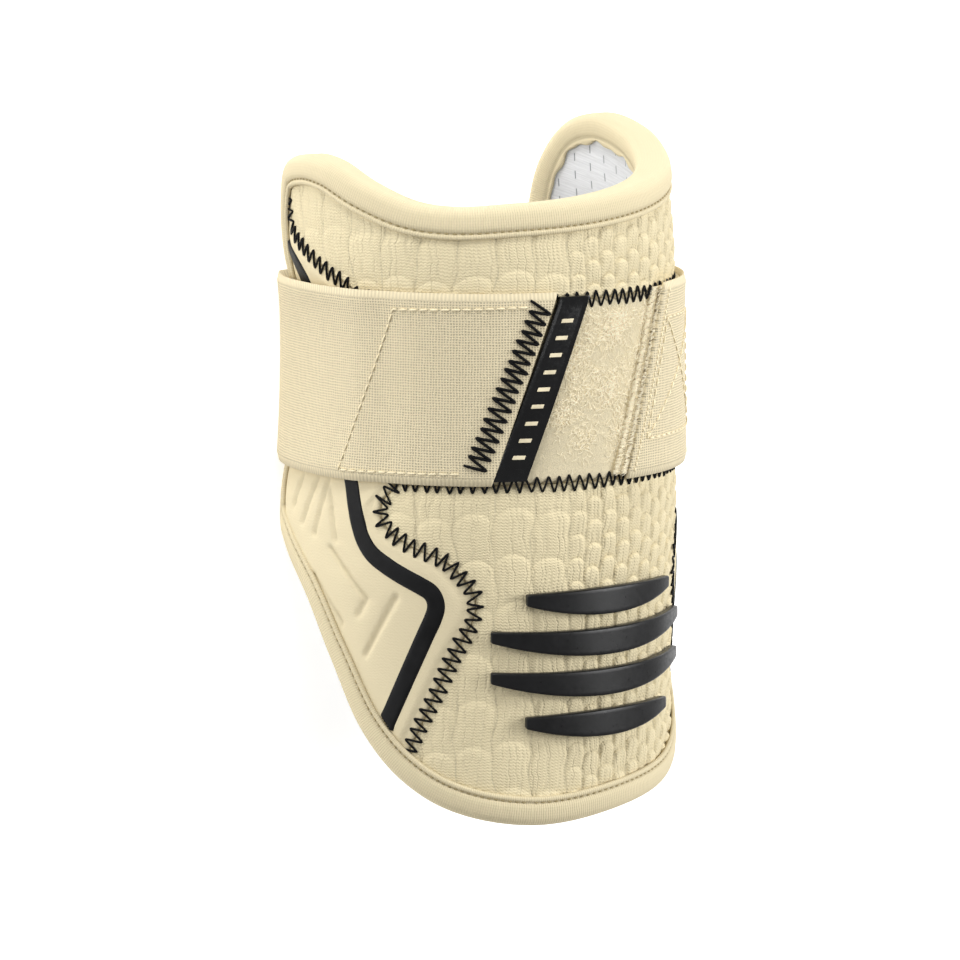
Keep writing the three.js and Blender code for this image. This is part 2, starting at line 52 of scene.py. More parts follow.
# Sizes of the guard in metres, and places round it in degrees from the front
GUARD_HEIGHT = 192.5 * MM
SHELL_RADIUS = 56 * MM
PAD_THICKNESS = 4.6 * MM
LINING_THICKNESS = 2.2 * MM
CLEARANCE = 0.3 * MM
LAYER_GAP = 0.4 * MM
WALL_DEPTH = PAD_THICKNESS + LAYER_GAP + LINING_THICKNESS
SEAM_INSET = 0.2 * MM
BINDING_WIDTH = 8.5 * MM
BINDING_THICKNESS = 1.2 * MM
BINDING_ROUND = 3 * MM
EDGE_INSET = BINDING_THICKNESS + 1.1 * MM
STRAP_WIDTH = 0.278 * GUARD_HEIGHT
STRAP_BASE = 0.5014 * GUARD_HEIGHT
STRAP_THICKNESS = 1.6 * MM
STRAP_MARGIN = 1.25 * MM
STRAP_TOP = STRAP_BASE + STRAP_WIDTH
LOOP_TOP = STRAP_TOP - 2 * STRAP_MARGIN
HOOK_THICKNESS = 1.2 * MM
STRAP_LIFT = HOOK_THICKNESS + 2.5 * CLEARANCE
LABEL_WIDTH = 9 * MM
LABEL_THICKNESS = 2 * MM
EDGE_ANGLE = 130
RIGHT_TURN = 7.5
STRAP_END = (-32.8, -13.8)
HOOK_END = (6.2, 24.2)
HOOK_BACK = 64
HOOK_LIP = 2 * MM

# Angles between which the wall's radius turns from the front's to the wing's
FRONT_REACH = 30
WING_REACH = 100

# Angles between which the strap rises from its sewn end to the hook tape's height
STRAP_RISE = (62, 76)
SELVEDGE_ROUND = 0.8 * MM

# Outer radius of the padding by height: height, front, left wing, right wing, as shares
RADIUS_ROWS = (
    (0.0, 0.985, 0.99, 0.99),
    (0.19, 0.977, 0.985, 0.985),
    (0.45, 1.0, 0.99, 1.0),
    (0.53, 0.993, 0.948, 0.985),
    (0.63, 0.987, 0.914, 0.967),
    (0.73, 0.985, 0.918, 0.965),
    (0.82, 0.988, 0.98, 0.98),
    (0.92, 0.948, 1.0, 0.943),
    (1.0, 0.93, 1.0, 0.935),
)

# The unrolled outline: angle from the front, and height as a share of the guard's height
OUTLINE = (
    (-21, 0.0), (11, 0.013), (38, 0.034), (53, 0.064), (68, 0.12), (81, 0.195), (93, 0.275),
    (107, 0.345), (121, 0.39), (129.6, 0.455), (128.8, 0.57), (128.2, 0.728), (127.4, 0.842),
    (122, 0.926), (112, 0.981), (98, 1.0), (78, 0.985), (58, 0.957), (30, 0.93), (0, 0.912),
    (-26, 0.904), (-44, 0.9), (-57, 0.907), (-72, 0.932), (-86, 0.96), (-99, 0.965),
    (-112, 0.945), (-118.8, 0.885), (-121.5, 0.78), (-125.5, 0.63), (-128.4, 0.535),
    (-129.6, 0.457), (-126, 0.405), (-113, 0.374), (-98, 0.32), (-86, 0.233), (-74, 0.135),
    (-61.5, 0.07), (-46, 0.025),
)
ROWS = len(OUTLINE)
RIGHT_LOW, RIGHT_FOOT, RIGHT_SHOULDER, RIGHT_HIGH = 4, 9, 12, 13
LEFT_HIGH, LEFT_SHOULDER, LEFT_FOOT, LEFT_LOW = 26, 27, 31, 37

# The left seams: angle, and height as a share of the way to the bound edge or of the strap's base
HIGH_SEAM = (
    (-109.5, 0.7), (-108, 0.52), (-98, 0.345), (-87, 0.185), (-75.5, 0.0),
)
LOW_SEAM = (
    (-61.5, 1.0), (-65.8, 0.925), (-65, 0.86), (-58, 0.795), (-45, 0.728), (-37.2, 0.59),
    (-44.8, 0.38),
)

# Middle line of the dark band: angle, and height as a share of the strap's base
ACCENT_LINE = (
    (-113, 1.66), (-102, 1.555), (-90, 1.27), (-77, 1.0), (-74.9, 0.932), (-73.2, 0.873),
    (-71.1, 0.826), (-67.9, 0.787), (-63.2, 0.757), (-58, 0.73), (-53, 0.706), (-50.2, 0.689),
    (-48.9, 0.668), (-48.6, 0.643), (-49.5, 0.612), (-51.6, 0.566), (-57.7, 0.433), (-64.5, 0.285),
)

# Half the band's width before it widens towards the rim
ACCENT_HALF = 2.8 * MM

# Embossed lines of a wing: angle, and height as a share of the strap's base
EMBOSSED = (
    ((-101.7, 0.985), (-107, 0.885)),
    ((-92.3, 0.99), (-99.6, 0.845)),
    ((-86.8, 0.985), (-92.5, 0.82)),
    ((-85.9, 0.96), (-82.4, 0.815)),
    ((-84.5, 0.79), (-70.7, 0.655), (-73.6, 0.605)),
    ((-60.5, 0.67), (-71.1, 0.49)),
    ((-92.0, 0.70), (-80.0, 0.575), (-82.5, 0.52)),
)

# Raised ribs: angle, height as a share of the strap's base, half length in degrees, end lift
RIBS = ((4, 0.65, 27, 0.22), (4, 0.53, 37, 0.4), (4, 0.41, 37, 0.4), (4, 0.29, 27, 0.22))
RIB_WIDTH = 7.6 * MM
RIB_THICKNESS = 2.6 * MM

# The tape's section by distance inwards, height and painted shading, which paints shade into its grooves
# and folds: its outer face, then its inner face
BINDING_OUTER = (
    (8.5, 0.0, 0.3), (8.5, 0.45, 0.4), (8.25, 0.85, 0.8), (7.8, 1.05, 1.0), (7.3, 0.95, 0.9),
    (7.0, 0.55, 0.25), (6.75, 0.5, 0.15), (6.45, 0.8, 0.5), (6.1, 1.1, 0.85), (5.3, 1.28, 1.0),
    (4.2, 1.3, 1.0), (3.2, 1.2, 1.0),
)
BINDING_INNER = (
    (3.2, 1.2, 1.0), (5.6, 1.2, 0.95), (6.4, 0.85, 0.5), (6.9, 0.6, 0.2), (7.5, 0.9, 0.8),
    (8.2, 1.0, 1.0), (8.5, 0.6, 0.5), (8.5, 0.0, 0.3),
)
BINDING_THREAD = (0.42, 0.34, 0.185)

# Loose fibres, and the heavy thread at the strap's sewn end
FIBRE = (1.0, 0.93, 0.74)
FIBRE_RADIUS = 0.06 * MM
HEAVY_THREAD = 0.43 * MM

# The quilting, which its relief and its material both follow. The columns are shifted round the guard
# and sway in two waves. A scale's rounded top drops at its sides, less so in the fine columns.
SCALE_SHIFT = 1.6 * MM
SLOW_SWAY, SLOW_WAVE, SWAY_TURN = 0.07, 31 * MM, 13 * MM
FAST_SWAY, FAST_WAVE = 0.03, 11.3 * MM
SCALE_ARCH = 4.6 * MM
ARCH_ROUND = 0.95
FIRST_FINE = -1.5
FINE_ARCH, FINE_ROW = 0.45, 0.5
# Each column's rows are moved by a share of a row that jumps about, and rise to the left
ROW_JUMP, ROW_CHANCE, ROW_RISE = 0.22, 0.618034, 0.04

# Pressure under the cloth of a padded piece while it swells, the most it may swell, and the
# distances from a seam between which the swelling sets in
SWELL_PRESSURE = 60.0
SWELL_MOST = 0.5 * MM
SWELL_FADE = (2.8 * MM, 6 * MM)

# The simulation's length in frames, and its enlargement, as cloth this small is unsteady
SWELL_FRAMES = 20
SWELL_SCALE = 10

# Width of the edge that rolls down to a seam
EDGE_ROLL = 1.6 * MM

# Shift along the arm from the middle of the guard's height to the frame's middle
CENTRE_SHIFT = 0.06 * MM


def arc(angle):
    return np.radians(angle) * SHELL_RADIUS


def smooth(x, low, high):
    t = np.clip((x - low) / (high - low), 0, 1)
    return t * t * (3 - 2 * t)


def radius_table():
    """Cubic through the radius rows, with each slope set by its neighbours."""
    rows = np.array(RADIUS_ROWS)
    heights, values = rows[:, 0], rows[:, 1:]
    shares = np.linspace(0, 1, 401)
    out = np.empty((len(shares), 3))
    for n, t in enumerate(shares):
        k = int(np.clip(np.searchsorted(heights, t, side="right"), 1, len(heights) - 1))
        before = k - 2 if k > 1 else k
        after = k + 1 if k + 1 < len(heights) else k - 1
        t0, t1 = heights[k - 1], heights[k]
        half = (t1 - t0) / 2
        wp = half / (t0 - (heights[before] if k > 1 else t1))
        wn = half / ((heights[after] if k + 1 < len(heights) else t0) - t1)
        p = (t - t0) / (t1 - t0)
        a = -wp * p**3 + 2 * wp * p**2 - wp * p
        b = (1 + wp) * p**3 + (-1.5 - 2 * wp) * p**2 + (-0.5 + wp) * p + 1
        c = (-1 - wn) * p**3 + (1.5 + wn) * p**2 + 0.5 * p
        d = wn * p**3 - wn * p**2
        out[n] = a * values[before] + b * values[k - 1] + c * values[k] + d * values[after]
    return shares, out


SHARES, RADII = radius_table()


def shell(s, h):
    """Outer radius of the padding at plan points."""
    angle = np.degrees(s / SHELL_RADIUS)
    share = np.clip(h / GUARD_HEIGHT, 0, 1)
    front, left, right = (np.interp(share, SHARES, RADII[:, k]) for k in range(3))
    wing = np.where(angle < 0, left, right)
    blend = smooth(np.abs(angle), FRONT_REACH, WING_REACH)
    return SHELL_RADIUS * (front + (wing - front) * blend)


def corner_centre(side, h):
    return shell(side * CORNER_ARC, h) + CLEARANCE + BINDING_THICKNESS - BINDING_ROUND


CORNER_ARC = arc(EDGE_ANGLE) - BINDING_ROUND
CORNER_ANGLE = CORNER_ARC / SHELL_RADIUS
STRAP_HEIGHTS = STRAP_BASE + STRAP_WIDTH * np.linspace(0, 1, 5)
CORNER_DEPTHS = [-math.cos(CORNER_ANGLE) * corner_centre(side, STRAP_HEIGHTS) for side in (-1, 1)]
BACK_DEPTH = float(np.max(CORNER_DEPTHS)) + BINDING_ROUND + CLEARANCE
AXIS_HEIGHT = BACK_DEPTH + STRAP_THICKNESS


def place(s, h, radius):
    """Plan points at a radius, in space."""
    turn = s / SHELL_RADIUS
    x = radius * np.sin(turn)
    y = h - GUARD_HEIGHT / 2 + CENTRE_SHIFT
    z = AXIS_HEIGHT + radius * np.cos(turn)
    return np.stack(np.broadcast_arrays(x, y, z), axis=-1)


def away_from_axis(s):
    """The direction straight out from the arm's axis at plan points."""
    turn = s / SHELL_RADIUS
    return np.stack([np.sin(turn), np.zeros_like(turn), np.cos(turn)], axis=-1)


def spline(points, shares, closed=False):
    """Centripetal curve through plan points, read at shares of the point numbers."""
    points = np.asarray(points, float)
    count = len(points)
    spans = count if closed else count - 1
    at = np.asarray(shares, float) * spans
    at = np.mod(at, spans) if closed else np.clip(at, 0, spans)
    first = np.minimum(np.floor(at).astype(int), spans - 1)
    w = at - first
    if closed:
        p0, p1, p2, p3 = (points[(first + k) % count] for k in (-1, 0, 1, 2))
    else:
        ext = np.vstack([2 * points[0] - points[1], points, 2 * points[-1] - points[-2]])
        p0, p1, p2, p3 = (ext[first + k] for k in range(4))
    d0, d1, d2 = (
        np.maximum(np.sum((b - a) ** 2, axis=-1) ** 0.25, 1e-9)[..., None]
        for a, b in ((p0, p1), (p1, p2), (p2, p3))
    )
    t1 = ((p1 - p0) / d0 - (p2 - p0) / (d0 + d1) + (p2 - p1) / d1) * d1
    t2 = ((p2 - p1) / d1 - (p3 - p1) / (d1 + d2) + (p3 - p2) / d2) * d1
    w = w[..., None]
    c2 = -3 * p1 + 3 * p2 - 2 * t1 - t2
    c3 = 2 * p1 - 2 * p2 + t1 + t2
    return p1 + t1 * w + c2 * w**2 + c3 * w**3


OUTLINE_POINTS = np.array([(arc(a), share * GUARD_HEIGHT) for a, share in OUTLINE])


def left_of(along):
    """Directions in the plan, turned a quarter to the left."""
    return np.stack([-along[..., 1], along[..., 0]], axis=-1)


def inset(row, distance):
    """The outline at row numbers, moved inwards."""
    share = np.asarray(row, float) / ROWS
    point = spline(OUTLINE_POINTS, share, True)
    along = spline(OUTLINE_POINTS, share + 1e-4, True) - spline(OUTLINE_POINTS, share - 1e-4, True)
    along /= np.linalg.norm(along, axis=-1, keepdims=True)
    return point + left_of(along) * np.asarray(distance)[..., None]


def edge_line(row):
    return inset(row, EDGE_INSET)


def run_length(points):
    """Distance along a line to each of its points."""
    return np.concatenate([[0], np.cumsum(np.linalg.norm(np.diff(points, axis=0), axis=1))])


def read_line(line, reach, wanted):
    """Plan points at wanted distances along a line, whose own points lie at the given reach."""
    return np.stack([np.interp(wanted, reach, line[:, k]) for k in range(2)], axis=-1)


def spaced(line, count):
    """The same line at evenly spaced places, count + 1 of them."""
    reach = run_length(line)
    return read_line(line, reach, np.linspace(0, reach[-1], count + 1))


def evenly(curve, low, high, count):
    """Evenly spaced places on a curve between two numbers, count + 1 of them."""
    return spaced(curve(np.linspace(low, high, 801)), count)


def turned(side, angle):
    """An angle of the left side as it is, or mirrored to the right side."""
    return angle if side < 0 else RIGHT_TURN - angle


def on_side(side, points):
    """Plan points on one side, from the left side's angles and shares of the strap's base."""
    return np.array([(arc(turned(side, a)), share * STRAP_BASE) for a, share in points])


def seam(side):
    """One wing's seam as a curve of point numbers, from the rim down to the hem."""
    start = edge_line(LEFT_HIGH if side < 0 else RIGHT_HIGH)
    end = edge_line(LEFT_LOW if side < 0 else RIGHT_LOW)
    points = [start]
    for line, foot, top in ((HIGH_SEAM, LOOP_TOP, start[1]), (LOW_SEAM, end[1], STRAP_BASE)):
        points += [(arc(turned(side, a)), foot + (top - foot) * share) for a, share in line]
    points = np.array([*points, end])
    return lambda row: spline(points, np.asarray(row, float) / (len(points) - 1))


SEAM_TOP, SEAM_BASE, SEAM_END = len(HIGH_SEAM), len(HIGH_SEAM) + 1, len(HIGH_SEAM) + len(LOW_SEAM) + 1
LEFT_SEAM, RIGHT_SEAM = seam(-1), seam(1)


def patch(bottom, top, left, right):
    """Plan points between four lines that meet at their ends."""
    u = np.linspace(0, 1, len(bottom))[:, None, None]
    v = np.linspace(0, 1, len(left))[None, :, None]
    across = left[None] * (1 - u) + right[None] * u
    up = bottom[:, None] * (1 - v) + top[:, None] * v
    low = bottom[0] * (1 - u) + bottom[-1] * u
    high = top[0] * (1 - u) + top[-1] * u
    return across + up - low * (1 - v) - high * v


def level(left, right, height, count):
    x = np.linspace(left[0], right[0], count + 1)
    return np.stack([x, np.full_like(x, height)], axis=-1)


# Meshes


def add_mesh(name, points, faces, uv=None, tone=None, period=None):
    """A smooth mesh object from arrays, with plan coordinates in millimetres as its UV map."""
    mesh = bpy.data.meshes.new(name)
    mesh.from_pydata(points.tolist(), [], faces.tolist() if hasattr(faces, "tolist") else faces)
    mesh.polygons.foreach_set("use_smooth", [True] * len(mesh.polygons))
    if uv is not None:
        corners = np.empty(len(mesh.loops), dtype=np.int32)
        mesh.loops.foreach_get("vertex_index", corners)
        spread = uv[corners] / MM
        if period is not None:
            along = spread[:, 0].reshape(-1, 4)
            split = np.ptp(along, axis=1) > period / MM / 2
            along[split[:, None] & (along < period / MM / 2)] += period / MM
        layer = mesh.uv_layers.new(name="Plan")
        layer.data.foreach_set("uv", spread.astype(np.float32).ravel())
    # The painted shading, a point attribute by which the materials paint shade into the colour
    if tone is not None:
        layer = mesh.attributes.new("tone", "FLOAT", "POINT")
        layer.data.foreach_set("value", tone.astype(np.float32))
    mesh.update()
    piece = bpy.data.objects.new(name, mesh)
    bpy.context.scene.collection.objects.link(piece)
    return piece


def finish_piece(piece, nodes, material):
    piece.data.materials.append(material)
    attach(piece, "root")
    if nodes:
        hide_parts(*nodes)
    return piece


def quads_between(index):
    """Faces between the rows and columns of a grid of vertex numbers."""
    quads = np.stack([index[:-1, :-1], index[1:, :-1], index[1:, 1:], index[:-1, 1:]], axis=-1)
    return quads.reshape(-1, 4)


def outward(points, faces):
    """The faces, turned where they enclose a negative volume."""
    a, b, c = points[faces[:, 0]], points[faces[:, 1]], points[faces[:, 2]]
    volume = np.einsum("ij,ij->i", a, np.cross(b, c)).sum()
    if faces.shape[1] == 4:
        d = points[faces[:, 3]]
        volume += np.einsum("ij,ij->i", a, np.cross(c, d)).sum()
    return faces[:, ::-1] if volume < 0 else faces


def wall(name, grid, outer, inner, tone=None):
    """A closed wall over a grid of plan points, between two radii."""
    columns, rows = grid.shape[:2]
    outside = place(grid[..., 0], grid[..., 1], outer).reshape(-1, 3)
    inside = place(grid[..., 0], grid[..., 1], inner).reshape(-1, 3)
    points = np.vstack([outside, inside])
    index = np.arange(columns * rows).reshape(columns, rows)
    quads = quads_between(index)
    rim = np.concatenate([index[:-1, 0], index[-1, :-1], index[:0:-1, -1], index[0, :0:-1]])
    after = np.roll(rim, -1)
    total = columns * rows
    sides = np.stack([rim, rim + total, after + total, after], axis=-1)
    faces = np.vstack([quads, quads[:, ::-1] + total, sides])
    uv = np.tile(grid.reshape(-1, 2), (2, 1))
    shade = None
    # Painted shading of the outer face; the hidden inner face is painted fully dark
    if tone is not None:
        shade = np.concatenate([tone.ravel(), np.zeros(total)])
    return add_mesh(name, points, outward(points, faces), uv, shade)


def loft(name, sections, uv, closed, tone=None, period=None):
    """A solid through sections (stations, points, 3), closed on itself or capped."""
    stations, count = sections.shape[:2]
    index = np.arange(stations * count).reshape(stations, count)
    far = np.roll(index, -1, axis=0) if closed else index[1:]
    near = index if closed else index[:-1]
    quads = np.stack([near, np.roll(near, -1, axis=1), np.roll(far, -1, axis=1), far], axis=-1)
    faces = quads.reshape(-1, 4)
    points = sections.reshape(-1, 3)
    turned = outward(points, faces)
    faces = turned.tolist()
    if not closed:
        flipped = bool(turned[0][0] != quads.reshape(-1, 4)[0][0])
        first, last = index[0].tolist(), index[-1].tolist()
        faces += [first if flipped else first[::-1], last[::-1] if flipped else last]
    return add_mesh(name, points, faces, uv.reshape(-1, 2), tone, period)


def thread_line(s, h, radius, share):
    """One thread over plan points: its path, the ways out, and its share of the full radius."""
    return place(s, h, radius), away_from_axis(s), share


def tubes(name, lines, radius, sides=6):
    """Threads along lines that thread_line gives."""
    points, faces, start = [], [], 0
    ring = np.linspace(0, 2 * math.pi, sides, endpoint=False)
    for path, out, share in lines:
        along = np.gradient(path, axis=0)
        along /= np.maximum(np.linalg.norm(along, axis=1, keepdims=True), 1e-12)
        side = np.cross(along, out)
        side /= np.maximum(np.linalg.norm(side, axis=1, keepdims=True), 1e-12)
        up = np.cross(side, along)
        r = (radius * share)[:, None, None]
        body = path[:, None] + r * (
            np.cos(ring)[None, :, None] * side[:, None] + np.sin(ring)[None, :, None] * up[:, None]
        )
        index = start + np.arange(len(path) * sides).reshape(len(path), sides)
        near, far = index[:-1], index[1:]
        quads = np.stack([near, far, np.roll(far, -1, axis=1), np.roll(near, -1, axis=1)], axis=-1)
        faces += quads.reshape(-1, 4).tolist()
        faces += [index[0].tolist(), index[-1][::-1].tolist()]
        points.append(body.reshape(-1, 3))
        start += body.shape[0] * sides
    return add_mesh(name, np.vstack(points), faces)


def edge_distance(grid):
    """How far each grid point lies from the grid's left, right, bottom and top lines."""
    across, up = (
        np.insert(np.cumsum(np.linalg.norm(np.diff(grid, axis=k), axis=2), axis=k), 0, 0, axis=k)
        for k in (0, 1)
    )
    return across, across[-1:] - across, up, up[:, -1:] - up


def rolled(distance, depth=0.9 * MM):
    """How far a rolled edge falls away at a distance from its line."""
    t = np.clip(1 - distance / EDGE_ROLL, 0, 1)
    return depth * (1 - np.sqrt(1 - t * t * 0.98))


# Relief


def quilting(s, h, pitch, period):
    """Height of the quilted scales, from 0 in the creases to 1 on the crowns.

    Columns are half as wide, and their scales half as tall, from column -1 onwards.
    """
    sway = SLOW_SWAY * np.sin(2 * np.pi * h / SLOW_WAVE + s / SWAY_TURN)
    sway = sway + FAST_SWAY * np.sin(2 * np.pi * h / FAST_WAVE)
    wide = (s - SCALE_SHIFT) / pitch
    column = wide + np.maximum(0, wide + 1) + sway
    number = np.floor(column)
    fine = np.where(number > FIRST_FINE, 1.0, 0.0)
    across = np.abs(column - number - 0.5) * 2
    arch = 1 - np.sqrt(1 - ARCH_ROUND * across**2)
    row = (h + SCALE_ARCH * (1 - FINE_ARCH * fine) * arch) / (period * (1 - FINE_ROW * fine))
    row = row + fine * 0.5 * np.mod(number, 2) - ROW_RISE * number * (1 - fine)
    row = row + ROW_JUMP * np.mod(number * ROW_CHANCE, 1)
    up = row - np.floor(row)
    rise = ((0, 0.0), (0.08, 0.3), (0.3, 0.55), (0.6, 0.84), (0.84, 1.0), (0.93, 0.75), (1, 0.0))
    crown = np.interp(up, *zip(*rise))
    side = 1 - 0.7 * np.exp(-(((1 - across) / 0.16) ** 2))
    return (0.12 + 0.88 * crown) * side * (1 - 0.22 * across**2)


def quilt_strength(s):
    """The relief's share of its full depth, faint on the left and strong on the right."""
    angle = np.degrees(s / SHELL_RADIUS)
    return 0.22 + 0.1 * smooth(angle, -40, -14) + 0.4 * smooth(angle, -13, 4)


def groove(grid, lines, width):
    """How deep each grid point lies in grooves along lines of plan points, from 0 to 1."""
    deep = np.zeros(grid.shape[:2])
    for line in lines:
        for a, b in zip(line[:-1], line[1:]):
            along = b - a
            t = np.clip(((grid - a) @ along) / (along @ along), 0, 1)
            near = np.linalg.norm(grid - (a + t[..., None] * along), axis=-1)
            deep = np.maximum(deep, np.exp(-((near / width) ** 2)))
    return deep


def swelled(grid, held):
    """How far cloth over the padding swells under pressure, held along its seams and creases.

    The simulation runs on every second point of the grid.
    """
    s, h = grid[::2, ::2, 0], grid[::2, ::2, 1]
    sheet = place(s, h, shell(s, h))
    index = np.arange(s.size).reshape(s.shape)
    mesh = bpy.data.meshes.new("swelling_cloth")
    mesh.from_pydata((sheet.reshape(-1, 3) * SWELL_SCALE).tolist(), [], quads_between(index).tolist())
    cloth = bpy.data.objects.new("swelling_cloth", mesh)
    bpy.context.scene.collection.objects.link(cloth)
    pins = cloth.vertex_groups.new(name="held")
    weights = np.clip(held[::2, ::2], 0, 1)
    weights[[0, -1]] = 1
    weights[:, [0, -1]] = 1
    for step in range(1, 11):
        chosen = np.flatnonzero(np.round(weights.ravel() * 10) == step)
        pins.add(chosen.tolist(), step / 10, "REPLACE")
    modifier = cloth.modifiers.new("cloth", "CLOTH")
    modifier.settings.quality = 4
    modifier.settings.vertex_group_mass = "held"
    modifier.settings.use_pressure = True
    modifier.settings.uniform_pressure_force = SWELL_PRESSURE
    modifier.settings.effector_weights.gravity = 0
    modifier.collision_settings.use_collision = False
    for moment in range(1, SWELL_FRAMES + 1):
        bpy.context.scene.frame_set(moment)
    made = cloth.evaluated_get(bpy.context.evaluated_depsgraph_get()).data
    points = np.empty(len(made.vertices) * 3)
    made.vertices.foreach_get("co", points)
    moved = np.linalg.norm(points.reshape(sheet.shape) / SWELL_SCALE - sheet, axis=-1)
    bpy.data.objects.remove(cloth)
    bpy.data.meshes.remove(mesh)
    bpy.context.scene.frame_set(1)
    full = np.empty(grid.shape[:2])
    full[::2, ::2] = moved
    full[1::2, ::2] = (full[:-1:2, ::2] + full[2::2, ::2]) / 2
    full[:, 1::2] = (full[:, :-1:2] + full[:, 2::2]) / 2
    return np.minimum(full, SWELL_MOST)


# Materials, with their sizes in millimetres


class Value:
    """A number that a material's nodes work out, joined to others by plain arithmetic."""

    def __init__(self, recipe, socket):
        self.recipe = recipe
        self.socket = socket

    def __add__(self, other):
        return self.recipe.math("ADD", self, other)

    def __sub__(self, other):
        return self.recipe.math("SUBTRACT", self, other)

    def __rsub__(self, other):
        return self.recipe.math("SUBTRACT", other, self)

    def __mul__(self, other):
        return self.recipe.math("MULTIPLY", self, other)

    def __truediv__(self, other):
        return self.recipe.math("DIVIDE", self, other)

    def __abs__(self):
        return self.recipe.math("ABSOLUTE", self)


class Recipe:
    """Builds one material's nodes, with sums and noises written as plain calls."""

    def __init__(self, name, colour, roughness, sheen=0.0, specular=0.25, glow=0.0):
        self.material = bpy.data.materials.new(name)
        self.material.use_nodes = True
        self.tree = self.material.node_tree
        self.shader = self.tree.nodes["Principled BSDF"]
        self.colour = colour
        for key, value in (
            ("Base Color", (*colour, 1)),
            ("Roughness", roughness),
            ("Sheen Weight", sheen),
            ("Sheen Roughness", 0.5),
            ("Sheen Tint", (*colour, 1)),
            ("Specular IOR Level", specular),
            ("Emission Color", (*colour, 1)),
            ("Emission Strength", glow),
        ):
            self.shader.inputs[key].default_value = value

    def node(self, kind, **settings):
        made = self.tree.nodes.new(kind)
        for key, value in settings.items():
            setattr(made, key, value)
        return made

    def feed(self, value, socket):
        if isinstance(value, Value):
            value = value.socket
        if isinstance(value, bpy.types.NodeSocket):
            self.tree.links.new(value, socket)
        else:
            socket.default_value = value

    def math(self, operation, *values, clamp=False):
        made = self.node("ShaderNodeMath", operation=operation, use_clamp=clamp)
        for value, socket in zip(values, made.inputs):
            self.feed(value, socket)
        return Value(self, made.outputs[0])

    def fract(self, value):
        return self.math("FRACT", value)

    def plan(self):
        """Plan coordinates in millimetres: along, up, and both as a vector."""
        source = self.node("ShaderNodeUVMap", uv_map="Plan").outputs[0]
        parts = self.node("ShaderNodeSeparateXYZ")
        self.feed(source, parts.inputs[0])
        return Value(self, parts.outputs[0]), Value(self, parts.outputs[1]), source

    def place(self):
        return self.node("ShaderNodeTexCoord").outputs["Object"]

    def vector(self, x, y):
        made = self.node("ShaderNodeCombineXYZ")
        self.feed(x, made.inputs[0])
        self.feed(y, made.inputs[1])
        return made.outputs[0]

    def noise(self, vector, scale, detail=2.0, roughness=0.5, distortion=0.0):
        made = self.node("ShaderNodeTexNoise")
        self.feed(vector, made.inputs["Vector"])
        made.inputs["Scale"].default_value = scale
        made.inputs["Detail"].default_value = detail
        made.inputs["Roughness"].default_value = roughness
        made.inputs["Distortion"].default_value = distortion
        return Value(self, made.outputs[0])

    def wave(self, value, period):
        """A sine of a coordinate, from 0 to 1."""
        return self.math("SINE", value * (2 * math.pi / period)) * 0.5 + 0.5

    def spread(self, value, low, high, to_low=0.0, to_high=1.0):
        made = self.node("ShaderNodeMapRange", clamp=True)
        for k, x in enumerate((value, low, high, to_low, to_high)):
            self.feed(x, made.inputs[k])
        return Value(self, made.outputs[0])

    def mix(self, factor, first, second):
        made = self.node("ShaderNodeMix", data_type="RGBA")
        self.feed(factor, made.inputs["Factor"])
        for value, key in ((first, 6), (second, 7)):
            self.feed((*value, 1) if isinstance(value, tuple) else value, made.inputs[key])
        return made.outputs[2]

    def shade(self, factor, dark=0.75, bright=1.04):
        """The colour, darker where the factor is 0 and brighter where it is 1."""
        bright = min(bright, 1 / max(self.colour))
        low = tuple(c * dark for c in self.colour)
        high = tuple(c * bright for c in self.colour)
        self.feed(self.mix(factor, low, high), self.shader.inputs["Base Color"])

    def bump(self, height, distance, under=None):
        made = self.node("ShaderNodeBump")
        made.inputs["Strength"].default_value = 1.0
        made.inputs["Distance"].default_value = distance
        self.feed(height, made.inputs["Height"])
        if under is not None:
            self.feed(under, made.inputs["Normal"])
        self.feed(made.outputs[0], self.shader.inputs["Normal"])
        return made.outputs[0]

    def attribute(self, name):
        return Value(self, self.node("ShaderNodeAttribute", attribute_name=name).outputs["Fac"])


def scale_lines(recipe, along, up):
    """Thin lines in the creases round the quilted scales: upright ones, and the scales' tops. The knit
    darkens its colour along them as painted shade.

    It follows the columns and rows of quilting, in millimetres.
    """
    pitch, period, drop = sizes().quilt_pitch / MM, sizes().quilt_period / MM, SCALE_ARCH / MM
    slow = recipe.math("SINE", up * (2 * math.pi * MM / SLOW_WAVE) + along * (MM / SWAY_TURN))
    fast = recipe.math("SINE", up * (2 * math.pi * MM / FAST_WAVE))
    wide = (along - SCALE_SHIFT / MM) / pitch
    column = wide + recipe.math("MAXIMUM", wide + 1.0, 0.0) + (slow * SLOW_SWAY + fast * FAST_SWAY)
    number = recipe.math("FLOOR", column)
    fine = recipe.math("GREATER_THAN", number, FIRST_FINE)
    across = abs(recipe.fract(column) - 0.5) * 2.0
    arch = 1.0 - recipe.math("SQRT", 1.0 - across * across * ARCH_ROUND)
    row = (up + arch * (fine * (-FINE_ARCH * drop) + drop)) / (fine * (-FINE_ROW * period) + period)
    row = row + recipe.math("MODULO", abs(number), 2.0) * 0.5 * fine + number * -ROW_RISE * (1.0 - fine)
    chance = number * ROW_CHANCE
    row = (chance - recipe.math("FLOOR", chance)) * ROW_JUMP + row
    place_in_row = row - recipe.math("FLOOR", row)
    off = recipe.math("MINIMUM", place_in_row, 1.0 - place_in_row)
    top = recipe.spread(off, 0.0, 0.05, 1.0, 0.0) * (fine * 0.4 + 0.1)
    broken = recipe.noise(recipe.vector(along * 0.3, up * 0.25), 1.0)
    side = recipe.math("GREATER_THAN", across, fine * -0.07 + 0.955)
    return recipe.math("MAXIMUM", top, side * recipe.spread(broken, 0.4, 0.6, 0.4, 1.0))


